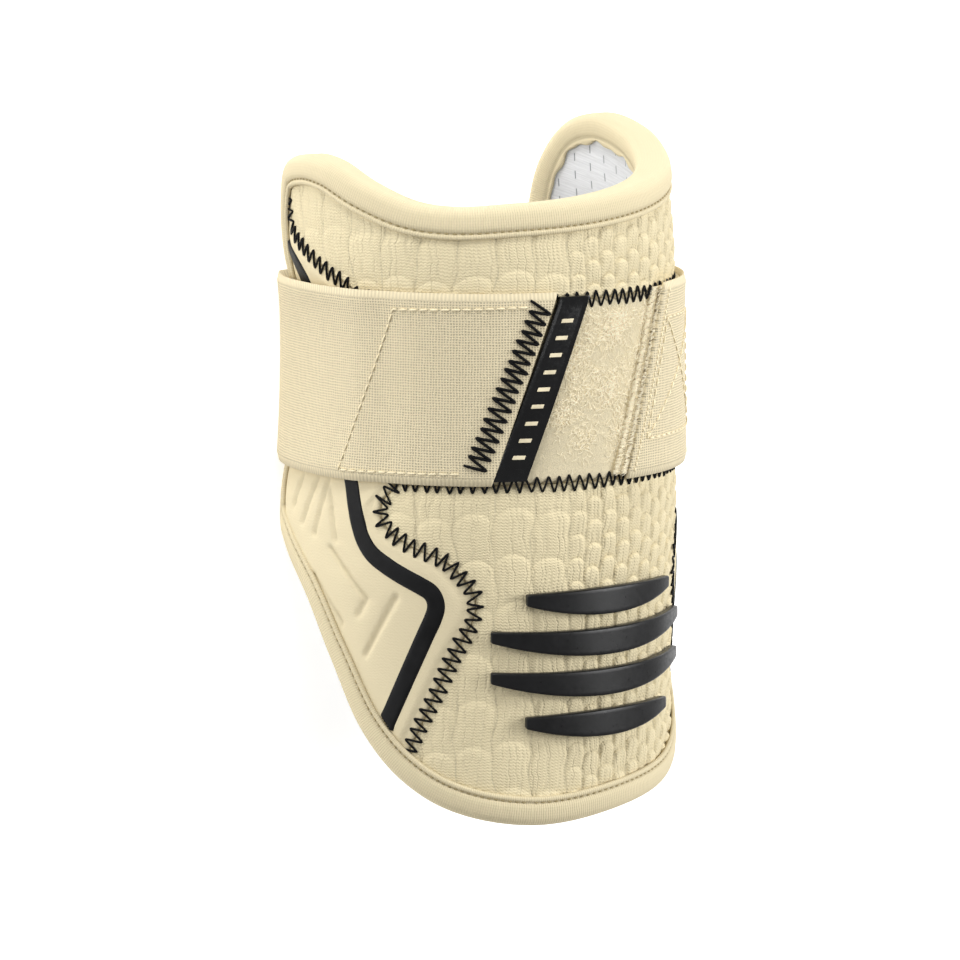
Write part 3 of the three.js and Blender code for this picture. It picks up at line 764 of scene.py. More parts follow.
def knit_material(name, colour, creased):
    """Knit cloth: small zigzag courses, and fine upright creases where it is quilted. Painted shade darkens
    the creases, the lines round the scales, the courses' hollows faintly, and where the painted shading is
    low.
    """
    recipe = Recipe(name, colour, 0.88, 0.2)
    along, up, plan = recipe.plan()
    drift = recipe.noise(recipe.vector(along * 0.12, up * 0.1), 1.0)
    stitch_width, course_height = 1.25, 0.86
    stitch = abs(recipe.fract(along / stitch_width) - 0.5)
    courses = recipe.wave(up + (stitch * 0.8 + drift * 2.5), course_height)
    grain = recipe.noise(recipe.vector(along * 1.1, up * 1.6), 1.0, 3.0)
    sand = recipe.noise(plan, 1.9, 3.0, 0.6)
    share = 0.6 if creased else 0.12
    fine = courses * share + (grain * 0.5 + sand * 0.5) * (1 - share)
    mottle = recipe.noise(plan, 0.09, 3.0)
    # Painted shade from the mesh's painted shading, and faintly in the hollows of the knit courses
    depth = recipe.attribute("tone") * 0.6 + fine * 0.24 + mottle * 0.16
    normal = recipe.bump(fine, (0.15 if creased else 0.16) * MM)
    if creased:
        sway = recipe.wave(up, 2.9) * 0.22 + recipe.wave(up, 7.3) * 0.5
        lines = recipe.noise(recipe.vector((along + sway) * 0.36, up * 0.03), 1.0, 1.0, 0.5)
        away = abs(lines - 0.5)
        normal = recipe.bump(recipe.spread(away, 0.0, 0.07), 0.15 * MM, normal)
        creases = scale_lines(recipe, along, up)
        # Painted shade: darker along the upright creases and round the scales
        depth = depth - recipe.spread(away, 0.0, 0.022, 0.17, 0.0) - creases * 0.42
        recipe.bump(creases, -0.2 * MM, normal)
    recipe.shade(recipe.math("ADD", depth, 0.04, clamp=True), 0.72, 1.05)
    return recipe.material


def elastic_material(colour):
    """Woven elastic: a grid of yarns, and corded selvedges. Painted shade darkens the gaps and pores
    between the yarns and the line by each selvedge.
    """
    recipe = Recipe("elastic_weave", colour, 0.8, 0.15)
    along, up, plan = recipe.plan()
    weft_pitch, warp_pitch, cord_pitch = 0.74, 0.82, 1.1
    waver = recipe.noise(plan, 0.35)
    wefts = recipe.wave(waver * 0.5 + up, weft_pitch)
    warps = recipe.wave(waver * 0.7 + along, warp_pitch)
    gap = (1.0 - wefts) * (1.0 - warps)
    chance = recipe.noise(plan, 0.8, 2.0)
    pore = recipe.spread(gap, 0.18, 0.62) * recipe.spread(chance, 0.3, 0.6, 0.55, 1.0)
    body = 1.0 - gap * 0.5 - pore * 0.75
    half = STRAP_WIDTH / MM / 2
    off = abs(up - (STRAP_BASE / MM + half))
    selvedge = recipe.spread(off, half - 2.1, half - 1.9)
    cords = recipe.wave(along, cord_pitch) * 0.55 + 0.45
    line = recipe.spread(abs(off - (half - 2.2)), 0.0, 0.3, 0.5, 1.0)
    height = (body + (cords - body) * selvedge) * line
    streak = recipe.noise(recipe.vector(along * 0.9, up * 0.12), 1.0, 3.0)
    # Painted shade: the colour follows the weave's height, darker in its gaps, pores and selvedge lines
    depth = height * 0.8 + streak * 0.25
    recipe.shade(recipe.math("ADD", depth, 0.02, clamp=True), 0.6, 1.08)
    recipe.bump(height, 0.14 * MM)
    return recipe.material


def binding_material(colour):
    """Ribbed tape, with painted shade in its folds and grooves from its painted shading, and in the valleys
    between its ribs.
    """
    recipe = Recipe("binding_tape", colour, 0.82, 0.25)
    along, up, plan = recipe.plan()
    rib_pitch, yarn_pitch = 0.7, 0.8
    ribs = recipe.wave(recipe.noise(plan, 0.5) * 0.5 + along, rib_pitch)
    height = ribs * 0.8 + recipe.wave(up, yarn_pitch) * 0.2
    # Painted shade: darker where the section dips and between the ribs
    depth = recipe.attribute("tone") * 0.6 + height * 0.36
    recipe.shade(recipe.math("ADD", depth, 0.04, clamp=True), 0.68, 1.05)
    recipe.bump(height, 0.1 * MM)
    return recipe.material


def loop_material(colour):
    recipe = Recipe("loop_cloth", colour, 0.95, 0.3)
    plan = recipe.plan()[2]
    tufts = recipe.noise(plan, 0.9, 5.0, 0.68, 1.4)
    strands = recipe.noise(plan, 2.4, 3.0, 0.6, 3.0)
    fluff = tufts * 0.6 + strands * 0.4
    recipe.shade(recipe.spread(fluff, 0.34, 0.62), 0.84, 1.1)
    recipe.bump(fluff, 0.4 * MM)
    return recipe.material


def hook_material(colour):
    recipe = Recipe("hook_tape", colour, 0.85, 0.2)
    along, up = recipe.plan()[:2]
    hook_pitch = 1.5
    dots = recipe.wave(along, hook_pitch) * recipe.wave(up, hook_pitch)
    recipe.shade(recipe.spread(dots, 0.0, 0.6), 0.78, 1.04)
    recipe.bump(dots, 0.2 * MM)
    return recipe.material


def lining_material(colour):
    """White mesh with slanting yarns, and staggered columns of short slits with painted grey shade inside
    them.
    """
    recipe = Recipe("perforated_lining", colour, 0.8, 0.2)
    along, up, plan = recipe.plan()
    column_pitch, row_pitch = 7.2, 5.2
    column = along / column_pitch
    aside = abs(recipe.fract(column) - 0.5)
    shift = recipe.math("MODULO", abs(recipe.math("FLOOR", column)), 2.0) * 0.5
    above = abs(recipe.fract(up / row_pitch + shift) - 0.5)
    slit = recipe.spread(aside, 0.02, 0.036, 1.0, 0.0) * recipe.spread(above, 0.19, 0.24, 1.0, 0.0)
    lean = along * -0.2 + up
    band = recipe.wave(lean * 0.8, 17.0)
    yarn = recipe.noise(recipe.vector(along * 0.1, lean * 1.9), 1.0, 3.0)
    cloth = recipe.noise(plan, 1.4, 3.0)
    light = band * 0.3 + cloth * 0.2 + recipe.spread(yarn, 0.35, 0.65, 0.0, 0.6)
    bright = recipe.mix(light, tuple(c * 0.84 for c in colour), tuple(c * 1.08 for c in colour))
    # Painted shade: grey inside the slits
    recipe.feed(recipe.mix(slit, bright, (0.34, 0.35, 0.37)), recipe.shader.inputs["Base Color"])
    recipe.bump(yarn * 0.5 + cloth * 0.25 - slit, 0.2 * MM)
    return recipe.material


def rubber_material(name, colour, roughness, grain, specular=0.3):
    recipe = Recipe(name, colour, roughness, specular=specular)
    vector = recipe.place()
    dust = recipe.noise(vector, 900.0, 4.0, 0.6)
    rough = recipe.spread(dust, 0.3, 0.75, roughness - 0.07, roughness + 0.12)
    recipe.feed(rough, recipe.shader.inputs["Roughness"])
    recipe.shade(recipe.spread(recipe.noise(vector, 160.0, 3.0), 0.3, 0.7), 0.7, 1.5)
    recipe.bump(dust, grain)
    return recipe.material


def thread_material(name, colour, glow=0.0):
    """Twisted thread. The glow is painted light: an emission standing for the light that thin fibres let
    through.
    """
    recipe = Recipe(name, colour, 0.6, specular=0.1, glow=glow)
    twist = recipe.noise(recipe.place(), 2600.0, 2.0)
    recipe.shade(recipe.spread(twist, 0.3, 0.7), 0.85, 1.15)
    return recipe.material


# Settings


def colour_setting(name, description, value):
    return bpy.props.FloatVectorProperty(
        name=name, description=description, default=value, min=0, max=1, size=3, subtype="COLOR"
    )


def length_setting(name, description, value):
    return bpy.props.FloatProperty(
        name=name, description=description, default=value, min=0, unit="LENGTH", precision=4
    )


class GuardSizes(bpy.types.PropertyGroup):
    quilt_pitch: length_setting("Quilt pitch", "Width of one column of quilted scales", 10.9 * MM)
    quilt_period: length_setting("Quilt period", "Height of one quilted scale", 13.2 * MM)
    quilt_depth: length_setting("Quilt depth", "Depth of the creases between the scales", 1.8 * MM)
    emboss_depth: length_setting("Emboss depth", "Depth of the lines pressed into the wings", 0.75 * MM)
    thread_width: length_setting("Thread width", "Width of the black thread in the seams", 0.66 * MM)
    zigzag_pitch: length_setting("Zigzag pitch", "Length of one zigzag stitch along a seam", 3.25 * MM)
    zigzag_width: length_setting("Zigzag width", "Width of the zigzag across a seam", 5.8 * MM)


class GuardColours(bpy.types.PropertyGroup):
    knit: colour_setting("Knit", "Cloth of the quilted panels", (0.82, 0.715, 0.47))
    wing: colour_setting("Wings", "Cloth of the smooth wings", (0.79, 0.69, 0.465))
    tape: colour_setting("Binding", "Tape of the bound edge", (0.76, 0.66, 0.437))
    elastic: colour_setting("Elastic", "Strap across the back", (0.78, 0.68, 0.465))
    loop: colour_setting("Loop cloth", "Brushed band that the strap closes on", (0.79, 0.695, 0.48))
    lining: colour_setting("Lining", "Perforated cloth inside the guard", (0.77, 0.78, 0.8))
    black: colour_setting("Trim", "Label strip, ribs and bands", (0.0065, 0.0065, 0.007))
    cream_thread: colour_setting("Light thread", "Thread of the dashed stitching", (1.0, 0.885, 0.62))
    floor: colour_setting("Floor", "Floor under the guard", (0.9, 0.9, 0.9))


def sizes():
    return bpy.context.scene.guard_sizes


def colour(name, share=1.0):
    """A colour from the panel, darkened to a share of itself."""
    return tuple(c * share for c in getattr(bpy.context.scene.guard_colours, name))


# Pieces


def panel_relief(grid, seams):
    """Radius and painted shading of a quilted panel, its edges rolled down to the named seams; the painted
    shade darkens its creases and the cloth next to the seams.
    """
    s, h = grid[..., 0], grid[..., 1]
    scale = quilting(s, h, sizes().quilt_pitch, sizes().quilt_period)
    strength = quilt_strength(s)
    reach = dict(zip(("left", "right", "bottom", "top"), edge_distance(grid)))
    near = np.min(np.stack([reach[k] for k in seams]), axis=0)
    fade = smooth(near, 0.5 * MM, 4 * MM)
    relief = sizes().quilt_depth * strength * fade * (scale - 0.85)
    held = np.clip(1.4 - 4 * scale, 0, 1)
    relief = relief + strength * smooth(near, *SWELL_FADE) * swelled(grid, held)
    radius = shell(s, h) + relief - rolled(near)
    # Painted shade: darker in the creases between the scales and next to the seams
    tone = 1 - (1 - scale) * strength * fade * 0.6 - seam_shadow(near)
    return radius, np.clip(tone, 0, 1)


def seam_shadow(near):
    """How much darker the cloth gets next to a seam."""
    return 0.5 * (1 - smooth(near, 0, 1.2 * MM))


def pad_inner(grid):
    return shell(grid[..., 0], grid[..., 1]) - PAD_THICKNESS


class ELBOWGUARD_OT_quilted_panels(bpy.types.Operator):
    """Make the quilted padding above and below the loop band"""

    bl_idname = "elbowguard.quilted_panels"
    bl_label = "Quilted panels"

    def execute(self, context):
        material = knit_material("quilted_knit", colour("knit"), True)
        rows, columns = 56, 330
        upper = patch(
            level(LEFT_SEAM(SEAM_TOP), RIGHT_SEAM(SEAM_TOP), LOOP_TOP + SEAM_INSET, columns),
            evenly(edge_line, LEFT_HIGH, RIGHT_HIGH, columns),
            evenly(LEFT_SEAM, SEAM_TOP, 0, rows),
            evenly(RIGHT_SEAM, SEAM_TOP, 0, rows),
        )
        rows, columns = 170, 250
        lower = patch(
            evenly(edge_line, LEFT_LOW, RIGHT_LOW + ROWS, columns),
            level(LEFT_SEAM(SEAM_BASE), RIGHT_SEAM(SEAM_BASE), STRAP_BASE - SEAM_INSET, columns),
            evenly(LEFT_SEAM, SEAM_END, SEAM_BASE, rows),
            evenly(RIGHT_SEAM, SEAM_END, SEAM_BASE, rows),
        )
        for name, node, grid, seams in (
            ("quilted_upper_panel", "upper_panel", upper, ("left", "right", "bottom")),
            ("quilted_lower_panel", "lower_panel", lower, ("left", "right", "top")),
        ):
            radius, tone = panel_relief(grid, seams)
            piece = wall(name, grid, radius, pad_inner(grid), tone)
            finish_piece(piece, [node], material)
        return {"FINISHED"}


class ELBOWGUARD_OT_wings(bpy.types.Operator):
    """Make the two smooth wings with their embossed lines"""

    bl_idname = "elbowguard.wings"
    bl_label = "Wings"

    def execute(self, context):
        material = knit_material("smooth_knit", colour("wing"), False)
        columns, rows, samples, trim = 72, 230, 1000, 30
        for side, name, node, curve, low, high in (
            (-1, "padded_left_wing", "left_wing", LEFT_SEAM, LEFT_LOW, LEFT_HIGH),
            (1, "padded_right_wing", "right_wing", RIGHT_SEAM, RIGHT_LOW, RIGHT_HIGH),
        ):
            along = np.linspace(trim, samples - trim, rows + 1).astype(int)
            edge = evenly(edge_line, low, high, samples)[along]
            sewn = evenly(curve, SEAM_END, 0, samples)[along]
            u = np.linspace(0, 1, columns + 1)[:, None, None]
            grid = edge[None] * (1 - u) + sewn[None] * u
            pressed = [on_side(side, line) for line in EMBOSSED]
            s, h = grid[..., 0], grid[..., 1]
            bound, near = edge_distance(grid)[:2]
            lip = BINDING_WIDTH - EDGE_INSET
            deep = groove(grid, pressed, 0.75 * MM) * smooth(bound, lip + 0.3 * MM, lip + 3 * MM)
            soft = groove(grid, pressed, 2.2 * MM)
            puff = 0.1 * MM * (1 - soft) + swelled(grid, deep)
            puff = puff * smooth(bound, lip - 2 * MM, lip + 4 * MM) * smooth(near, *SWELL_FADE)
            radius = shell(s, h) + puff - sizes().emboss_depth * deep - rolled(near)
            # Painted shade: darker in the embossed grooves and next to the seam
            tone = np.clip(1 - 0.6 * deep - seam_shadow(near), 0, 1)
            piece = wall(name, grid, radius, pad_inner(grid), tone)
            finish_piece(piece, [node], material)
        return {"FINISHED"}


class ELBOWGUARD_OT_lining(bpy.types.Operator):
    """Make the perforated lining"""

    bl_idname = "elbowguard.lining"
    bl_label = "Lining"

    def execute(self, context):
        columns, rows = 150, 60
        grid = patch(
            evenly(edge_line, LEFT_FOOT, RIGHT_FOOT + ROWS, columns),
            evenly(edge_line, LEFT_SHOULDER, RIGHT_SHOULDER, columns),
            evenly(edge_line, LEFT_FOOT, LEFT_SHOULDER, rows),
            evenly(edge_line, RIGHT_FOOT, RIGHT_SHOULDER, rows),
        )
        outer = pad_inner(grid) - LAYER_GAP
        piece = wall("perforated_lining", grid, outer, outer - LINING_THICKNESS)
        finish_piece(piece, ["lining"], lining_material(colour("lining")))
        return {"FINISHED"}


def loop_fibres(count, steps):
    """Loose fibres that curl over the loop cloth, gathered round a few tufts."""
    chance = np.random.default_rng(4)
    tufts = chance.random((26, 2))
    t = np.linspace(0, 1, steps)
    lines = []
    for _ in range(count):
        near = tufts[chance.integers(len(tufts))] + chance.normal(0, 0.07, 2)
        share, across = np.clip(near, 0.0, 1.0)
        h = STRAP_BASE + 4 * MM + share * (LOOP_TOP - STRAP_BASE - 8.5 * MM)
        left, right = arc(-24 + share * 20), arc(5 + share * 18)
        heading = chance.uniform(0, 2 * math.pi) + chance.uniform(-1.6, 1.6) * t
        step = chance.uniform(0.9, 3.6) * MM / steps
        s = left + across * (right - left) + np.cumsum(np.cos(heading)) * step
        h = h + np.cumsum(np.sin(heading)) * step
        lift = chance.uniform(0.15, 0.5) * MM * np.sin(np.pi * t)
        lines.append(thread_line(s, h, shell(s, h) + 0.12 * MM + lift, np.ones(steps)))
    return lines


class ELBOWGUARD_OT_loop_band(bpy.types.Operator):
    """Make the brushed loop band and its loose fibres"""

    bl_idname = "elbowguard.loop_band"
    bl_label = "Loop band"

    def execute(self, context):
        columns, rows = 170, 60
        low, high = STRAP_BASE + SEAM_INSET, LOOP_TOP - SEAM_INSET
        feet = (LEFT_SEAM(SEAM_BASE), RIGHT_SEAM(SEAM_BASE))
        tops = (LEFT_SEAM(SEAM_TOP), RIGHT_SEAM(SEAM_TOP))
        grid = patch(
            level(*feet, low, columns),
            level(*tops, high, columns),
            *(np.linspace((a[0], low), (b[0], high), rows + 1) for a, b in zip(feet, tops)),
        )
        near = np.min(np.stack(edge_distance(grid)), axis=0)
        radius = shell(grid[..., 0], grid[..., 1]) + 0.1 * MM - rolled(near, 0.8 * MM)
        piece = wall("brushed_loop_band", grid, radius, pad_inner(grid))
        finish_piece(piece, ["loop_band"], loop_material(colour("loop")))
        fibres = tubes("loop_fibres", loop_fibres(1900, 6), FIBRE_RADIUS, 4)
        # The fibres glow a little: painted light for light through thin fibres
        finish_piece(fibres, [], thread_material("loop_fibre", FIBRE, 0.17))
        return {"FINISHED"}


def binding_profile():
    """The tape's section, from the fold on the outer face round the bound edge to the inner face.

    Each point has a distance inwards from the edge, a face, a height over it and a painted shading, low
    where shade is painted into the tape's grooves, folds and cut edges.
    """
    fold, flat = BINDING_ROUND, BINDING_THICKNESS
    bends = [math.radians(90 * k / 7) for k in range(1, 7)]
    return [
        *((inwards * MM, 1, out * MM, tone) for inwards, out, tone in BINDING_OUTER),
        *((fold - fold * math.sin(t), 1, flat - fold + fold * math.cos(t), 1.0) for t in bends),
        (0.0, 1, flat - fold, 1.0),
        (0.0, -1, flat - fold, 1.0),
        *((fold - fold * math.sin(t), -1, flat - fold + fold * math.cos(t), 1.0) for t in bends[::-1]),
        *((inwards * MM, -1, out * MM, tone) for inwards, out, tone in BINDING_INNER),
        (flat + 0.1 * MM, -1, 0.0, 0.3),
        (flat + 0.1 * MM, 1, 0.0, 0.3),
    ]


class ELBOWGUARD_OT_bound_edge(bpy.types.Operator):
    """Make the binding round the whole edge, with its folded lip and stitches"""

    bl_idname = "elbowguard.bound_edge"
    bl_label = "Bound edge"

    def execute(self, context):
        share = np.linspace(0, 1, 4001)
        reach = run_length(spline(OUTLINE_POINTS, share, True))
        total = float(reach[-1])
        stations = 900
        wanted = np.linspace(0, total, stations, endpoint=False)
        rows = np.interp(wanted, reach, share) * ROWS
        profile = binding_profile()
        sections = np.empty((stations, len(profile), 3))
        uv = np.empty((stations, len(profile), 2))
        painted_shadings = np.empty((stations, len(profile)))
        ragged = (0.4 * np.sin(wanted / 0.0031) + 0.35 * np.sin(wanted / 0.0017 + 1)) * MM
        for k, (inwards, face, out, tone) in enumerate(profile):
            cut = face < 0 and inwards > 8 * MM
            p = inset(rows, inwards + (ragged if cut else 0.0))
            base = shell(p[:, 0], p[:, 1]) + (CLEARANCE if face > 0 else -WALL_DEPTH - CLEARANCE)
            sections[:, k] = place(p[:, 0], p[:, 1], base + face * out)
            # Painted shade along the section's grooves and folds
            painted_shadings[:, k] = tone
        uv[..., 0] = wanted[:, None]
        uv[..., 1] = run_length(sections[0])
        piece = loft("edge_binding_tape", sections, uv, True, painted_shadings.ravel(), total)
        finish_piece(piece, ["edge_binding"], binding_material(colour("tape")))
        lines = []
        pitch = 2.15 * MM
        t = np.linspace(-0.5, 0.5, 6)
        bow = 0.26 * MM * np.cos(np.pi * t)
        for k in range(int(total / pitch)):
            at = np.interp(np.mod(pitch * (k + 0.5 + 0.6 * t), total), reach, share) * ROWS
            s, h = inset(at, 6.85 * MM).T
            radius = shell(s, h) + CLEARANCE + 0.42 * MM + bow
            lines.append(thread_line(s, h, radius, np.array([0.4, 0.9, 1, 1, 0.9, 0.4])))
        stitches = tubes("binding_stitches", lines, 0.24 * MM, 5)
        finish_piece(stitches, [], thread_material("binding_thread", BINDING_THREAD))
        return {"FINISHED"}


def hook_edge(share):
    """Angle of the hook tape's end, which leans with the height."""
    return HOOK_END[0] + (HOOK_END[1] - HOOK_END[0]) * share


def sewn_lift(angle):
    """How far the strap's inner face lies off the wall: flat at its sewn end, higher over the hook tape."""
    free = np.where(angle < 0, smooth(np.abs(angle), *STRAP_RISE), 1.0)
    return CLEARANCE + (STRAP_LIFT - CLEARANCE) * free


def strap_line(h, out, steps):
    """Points of the strap at one height, from its sewn end to its hook end."""
    share = (h - STRAP_BASE) / STRAP_WIDTH
    corner = math.degrees(CORNER_ANGLE)
    start = STRAP_END[0] + (STRAP_END[1] - STRAP_END[0]) * share
    end = hook_edge(share) + math.degrees(HOOK_LIP / SHELL_RADIUS)

    def corner_reach(side):
        return BACK_DEPTH + math.cos(CORNER_ANGLE) * corner_centre(side, h)

    def on_wall(side, angles):
        s = arc(angles)
        corner_lift = corner_reach(side) + CLEARANCE + BINDING_THICKNESS - BINDING_ROUND
        lift = sewn_lift(angles)
        lift = lift + (corner_lift - lift) * smooth(np.abs(angles), 95, corner)
        return place(s, h, shell(s, h) + lift + out)

    def round_corner(side, turns):
        centre = place(side * CORNER_ARC, h, corner_centre(side, h))
        return centre + (corner_reach(side) + out) * away_from_axis(side * turns * SHELL_RADIUS)

    left, back, right, turn = steps
    down = round_corner(-1, np.linspace(CORNER_ANGLE, math.pi, turn + 1)[1:])
    up = round_corner(1, np.linspace(math.pi, CORNER_ANGLE, turn + 1))
    return np.vstack([
        on_wall(-1, np.linspace(start, -corner, left + 1)),
        down,
        np.linspace(down[-1], up[0], back + 1)[1:-1],
        up,
        on_wall(1, np.linspace(corner, end, right + 1)[1:]),
    ])


def strap_profile():
    """The strap's section as heights and distances from its inner face, with rounded selvedges."""
    shares = np.linspace(0, 1, 26)
    heights = STRAP_BASE + shares * STRAP_WIDTH
    t = np.clip(1 - np.minimum(shares, 1 - shares) * STRAP_WIDTH / SELVEDGE_ROUND, 0, 1)
    drop = STRAP_THICKNESS / 2 * (1 - np.sqrt(1 - t * t)) * 0.8
    return [*zip(heights, STRAP_THICKNESS - drop), *zip(heights[::-1], drop[::-1])]


class ELBOWGUARD_OT_strap(bpy.types.Operator):
    """Make the elastic strap from its sewn end to its hook end"""

    bl_idname = "elbowguard.strap"
    bl_label = "Elastic strap"

    def execute(self, context):
        steps = (110, 40, 110, 14)
        profile = strap_profile()
        lines = [strap_line(h, out, steps) for h, out in profile]
        sections = np.stack(lines, axis=1)
        reach = run_length(strap_line(STRAP_BASE + STRAP_WIDTH / 2, 0.0, steps))
        left, right = steps[0], len(reach) - steps[2] - 1
        uv = np.empty((*sections.shape[:2], 2))
        for k, line in enumerate(lines):
            run = run_length(line)
            across = (run - run[left]) * (reach[right] - reach[left]) / (run[right] - run[left])
            turned = np.arctan2(line[:, 0], line[:, 2] - AXIS_HEIGHT) * SHELL_RADIUS
            uv[:, k, 0] = across
            uv[: left + 1, k, 0] = turned[left] - turned[: left + 1]
            uv[right:, k, 0] = across[right] + turned[right] - turned[right:]
            uv[:, k, 1] = profile[k][0]
        piece = loft("woven_elastic_strap", sections, uv, False)
        finish_piece(piece, ["elastic_strap"], elastic_material(colour("elastic")))
        return {"FINISHED"}


def strap_radius(s, h):
    """Outer face of the strap over the wall, on its sewn side and its hook side."""
    return shell(s, h) + sewn_lift(np.degrees(s / SHELL_RADIUS)) + STRAP_THICKNESS


def hook_fuzz(low, high, count):
    """Loose fibres at the hook tape's end, a third of them further in."""
    chance = np.random.default_rng(9)
    t = np.linspace(0, 1, 4)
    lines = []
    for k in range(count):
        f = chance.random()
        inner = 1.7 * MM * (k % 3 == 0)
        away = chance.uniform(0.2, 1.7) * MM
        s = arc(hook_edge(f)) + 0.5 * MM + inner - t * (away + 0.5 * MM)
        h = low + (high - low) * f + t * chance.uniform(-0.8, 0.5) * MM
        base = shell(s, h) + CLEARANCE + inner * 0.75
        radius = base + chance.uniform(0.3, 1.2) * MM + t * chance.uniform(-0.2, 0.25) * MM
        lines.append(thread_line(s, h, radius, np.array([1, 1, 0.9, 0.5])))
    return lines


class ELBOWGUARD_OT_hook_tape(bpy.types.Operator):
    """Make the hook tape under the strap's free end, with its fuzzy edge"""

    bl_idname = "elbowguard.hook_tape"
    bl_label = "Hook tape"

    def execute(self, context):
        columns, rows = 90, 90
        low, high = STRAP_BASE + STRAP_MARGIN, STRAP_TOP - STRAP_MARGIN
        v = np.linspace(0, 1, rows + 1)[None, :]
        u = np.linspace(0, 1, columns + 1)[:, None] ** 1.6
        angle = hook_edge(v) + (HOOK_BACK - hook_edge(v)) * u
        grid = np.stack([arc(angle), low + (high - low) * v + 0 * u], axis=-1)
        near = edge_distance(grid)[0]
        base = shell(grid[..., 0], grid[..., 1]) + CLEARANCE
        lip = np.clip(1 - near / (0.7 * MM), 0, 1)
        ridge = 0.18 * MM * np.exp(-((near / MM - 0.9) ** 2) / 0.15)
        piece = wall("hook_tape", grid, base + HOOK_THICKNESS * (1 - 0.45 * lip**2) + ridge, base)
        finish_piece(piece, ["hook_tab"], hook_material(colour("elastic")))
        fuzz = tubes("hook_tape_fuzz", hook_fuzz(low, high, 2400), FIBRE_RADIUS, 4)
        # The fuzz glows a little: painted light for light through thin fibres
        finish_piece(fuzz, [], thread_material("hook_fuzz", FIBRE, 0.15))
        return {"FINISHED"}


# Moulded trim, modelled flat and bent round the wall


def deselect():
    if bpy.context.object and bpy.context.object.mode != "OBJECT":
        bpy.ops.object.mode_set(mode="OBJECT")
    bpy.ops.object.select_all(action="DESELECT")


def select(action):
    """Turns to the mesh's points and selects all or none of them."""
    bpy.ops.object.mode_set(mode="EDIT")
    bpy.ops.mesh.select_all(action=action)


def flat_bar(name, length, width, thickness, cuts):
    """A bar lying flat, long along X and wide along Y, with its underside at Z 0."""
    deselect()
    bpy.ops.mesh.primitive_grid_add(x_subdivisions=cuts, y_subdivisions=6, size=1)
    bar = bpy.context.object
    bar.name = name
    bar.data.name = name
    bar.scale = (length, width, 1)
    bpy.ops.object.transform_apply(location=False, rotation=False, scale=True)
    select("SELECT")
    bpy.ops.mesh.extrude_region_move(TRANSFORM_OT_translate={"value": (0, 0, thickness)})
    bpy.ops.object.mode_set(mode="OBJECT")
    return bar


def pull_ends(bar, length, lift, narrow):
    """Narrows the bar's ends and lifts them along Y, easing off towards the middle."""
    for end in (-1, 1):
        select("DESELECT")
        bpy.ops.object.mode_set(mode="OBJECT")
        for vertex in bar.data.vertices:
            vertex.select = abs(vertex.co.x - end * length / 2) < 1e-5
        bpy.ops.object.mode_set(mode="EDIT")
        easing = {
            "use_proportional_edit": True,
            "proportional_edit_falloff": "SHARP",
            "proportional_size": length / 2,
        }
        bpy.ops.transform.resize(value=(1, narrow, 1), center_override=(end * length / 2, 0, 0), **easing)
        bpy.ops.transform.translate(value=(0, lift, 0), **easing)
    bpy.ops.object.mode_set(mode="OBJECT")


def apply_modifiers(piece):
    bpy.context.view_layer.objects.active = piece
    for modifier in list(piece.modifiers):
        bpy.ops.object.modifier_apply(modifier=modifier.name)


def round_edges(bar, width, angle=35):
    bevel = bar.modifiers.new("rounded edges", "BEVEL")
    bevel.width = width
    bevel.segments = 3
    bevel.limit_method = "ANGLE"
    bevel.angle_limit = math.radians(angle)
    apply_modifiers(bar)
    select("SELECT")
    bpy.ops.mesh.remove_doubles(threshold=1e-6)
    bpy.ops.object.mode_set(mode="OBJECT")
    bpy.ops.object.shade_smooth_by_angle(angle=math.radians(40))


def wrap(bar, angle, height, radius):
    """Bends a flat bar round the arm's axis, its underside at the radius and its middle at the angle."""
    points = np.empty(len(bar.data.vertices) * 3)
    bar.data.vertices.foreach_get("co", points)
    points = points.reshape(-1, 3)
    s = arc(angle) + points[:, 0] * SHELL_RADIUS / radius
    moved = place(s, height + points[:, 1], radius + points[:, 2])
    bar.data.vertices.foreach_set("co", moved.ravel())
    bar.data.update()


class ELBOWGUARD_OT_ribs(bpy.types.Operator):
    """Make the raised rubber ribs on the front"""

    bl_idname = "elbowguard.ribs"
    bl_label = "Impact ribs"

    def execute(self, context):
        material = rubber_material("black_rubber", colour("black"), 0.34, 0.015 * MM)
        for number, (angle, share, reach, lift) in enumerate(RIBS, 1):
            height = share * STRAP_BASE
            radius = float(shell(arc(angle), height)) + CLEARANCE
            length = 2 * math.radians(reach) * radius
            bar = flat_bar(f"moulded_rib_{number}", length, RIB_WIDTH, RIB_THICKNESS, 48)
            pull_ends(bar, length, lift * RIB_WIDTH, 0.42)
            round_edges(bar, 1.1 * MM)
            wrap(bar, angle, height, radius)
            finish_piece(bar, [f"impact_rib_{number}"], material)
        return {"FINISHED"}


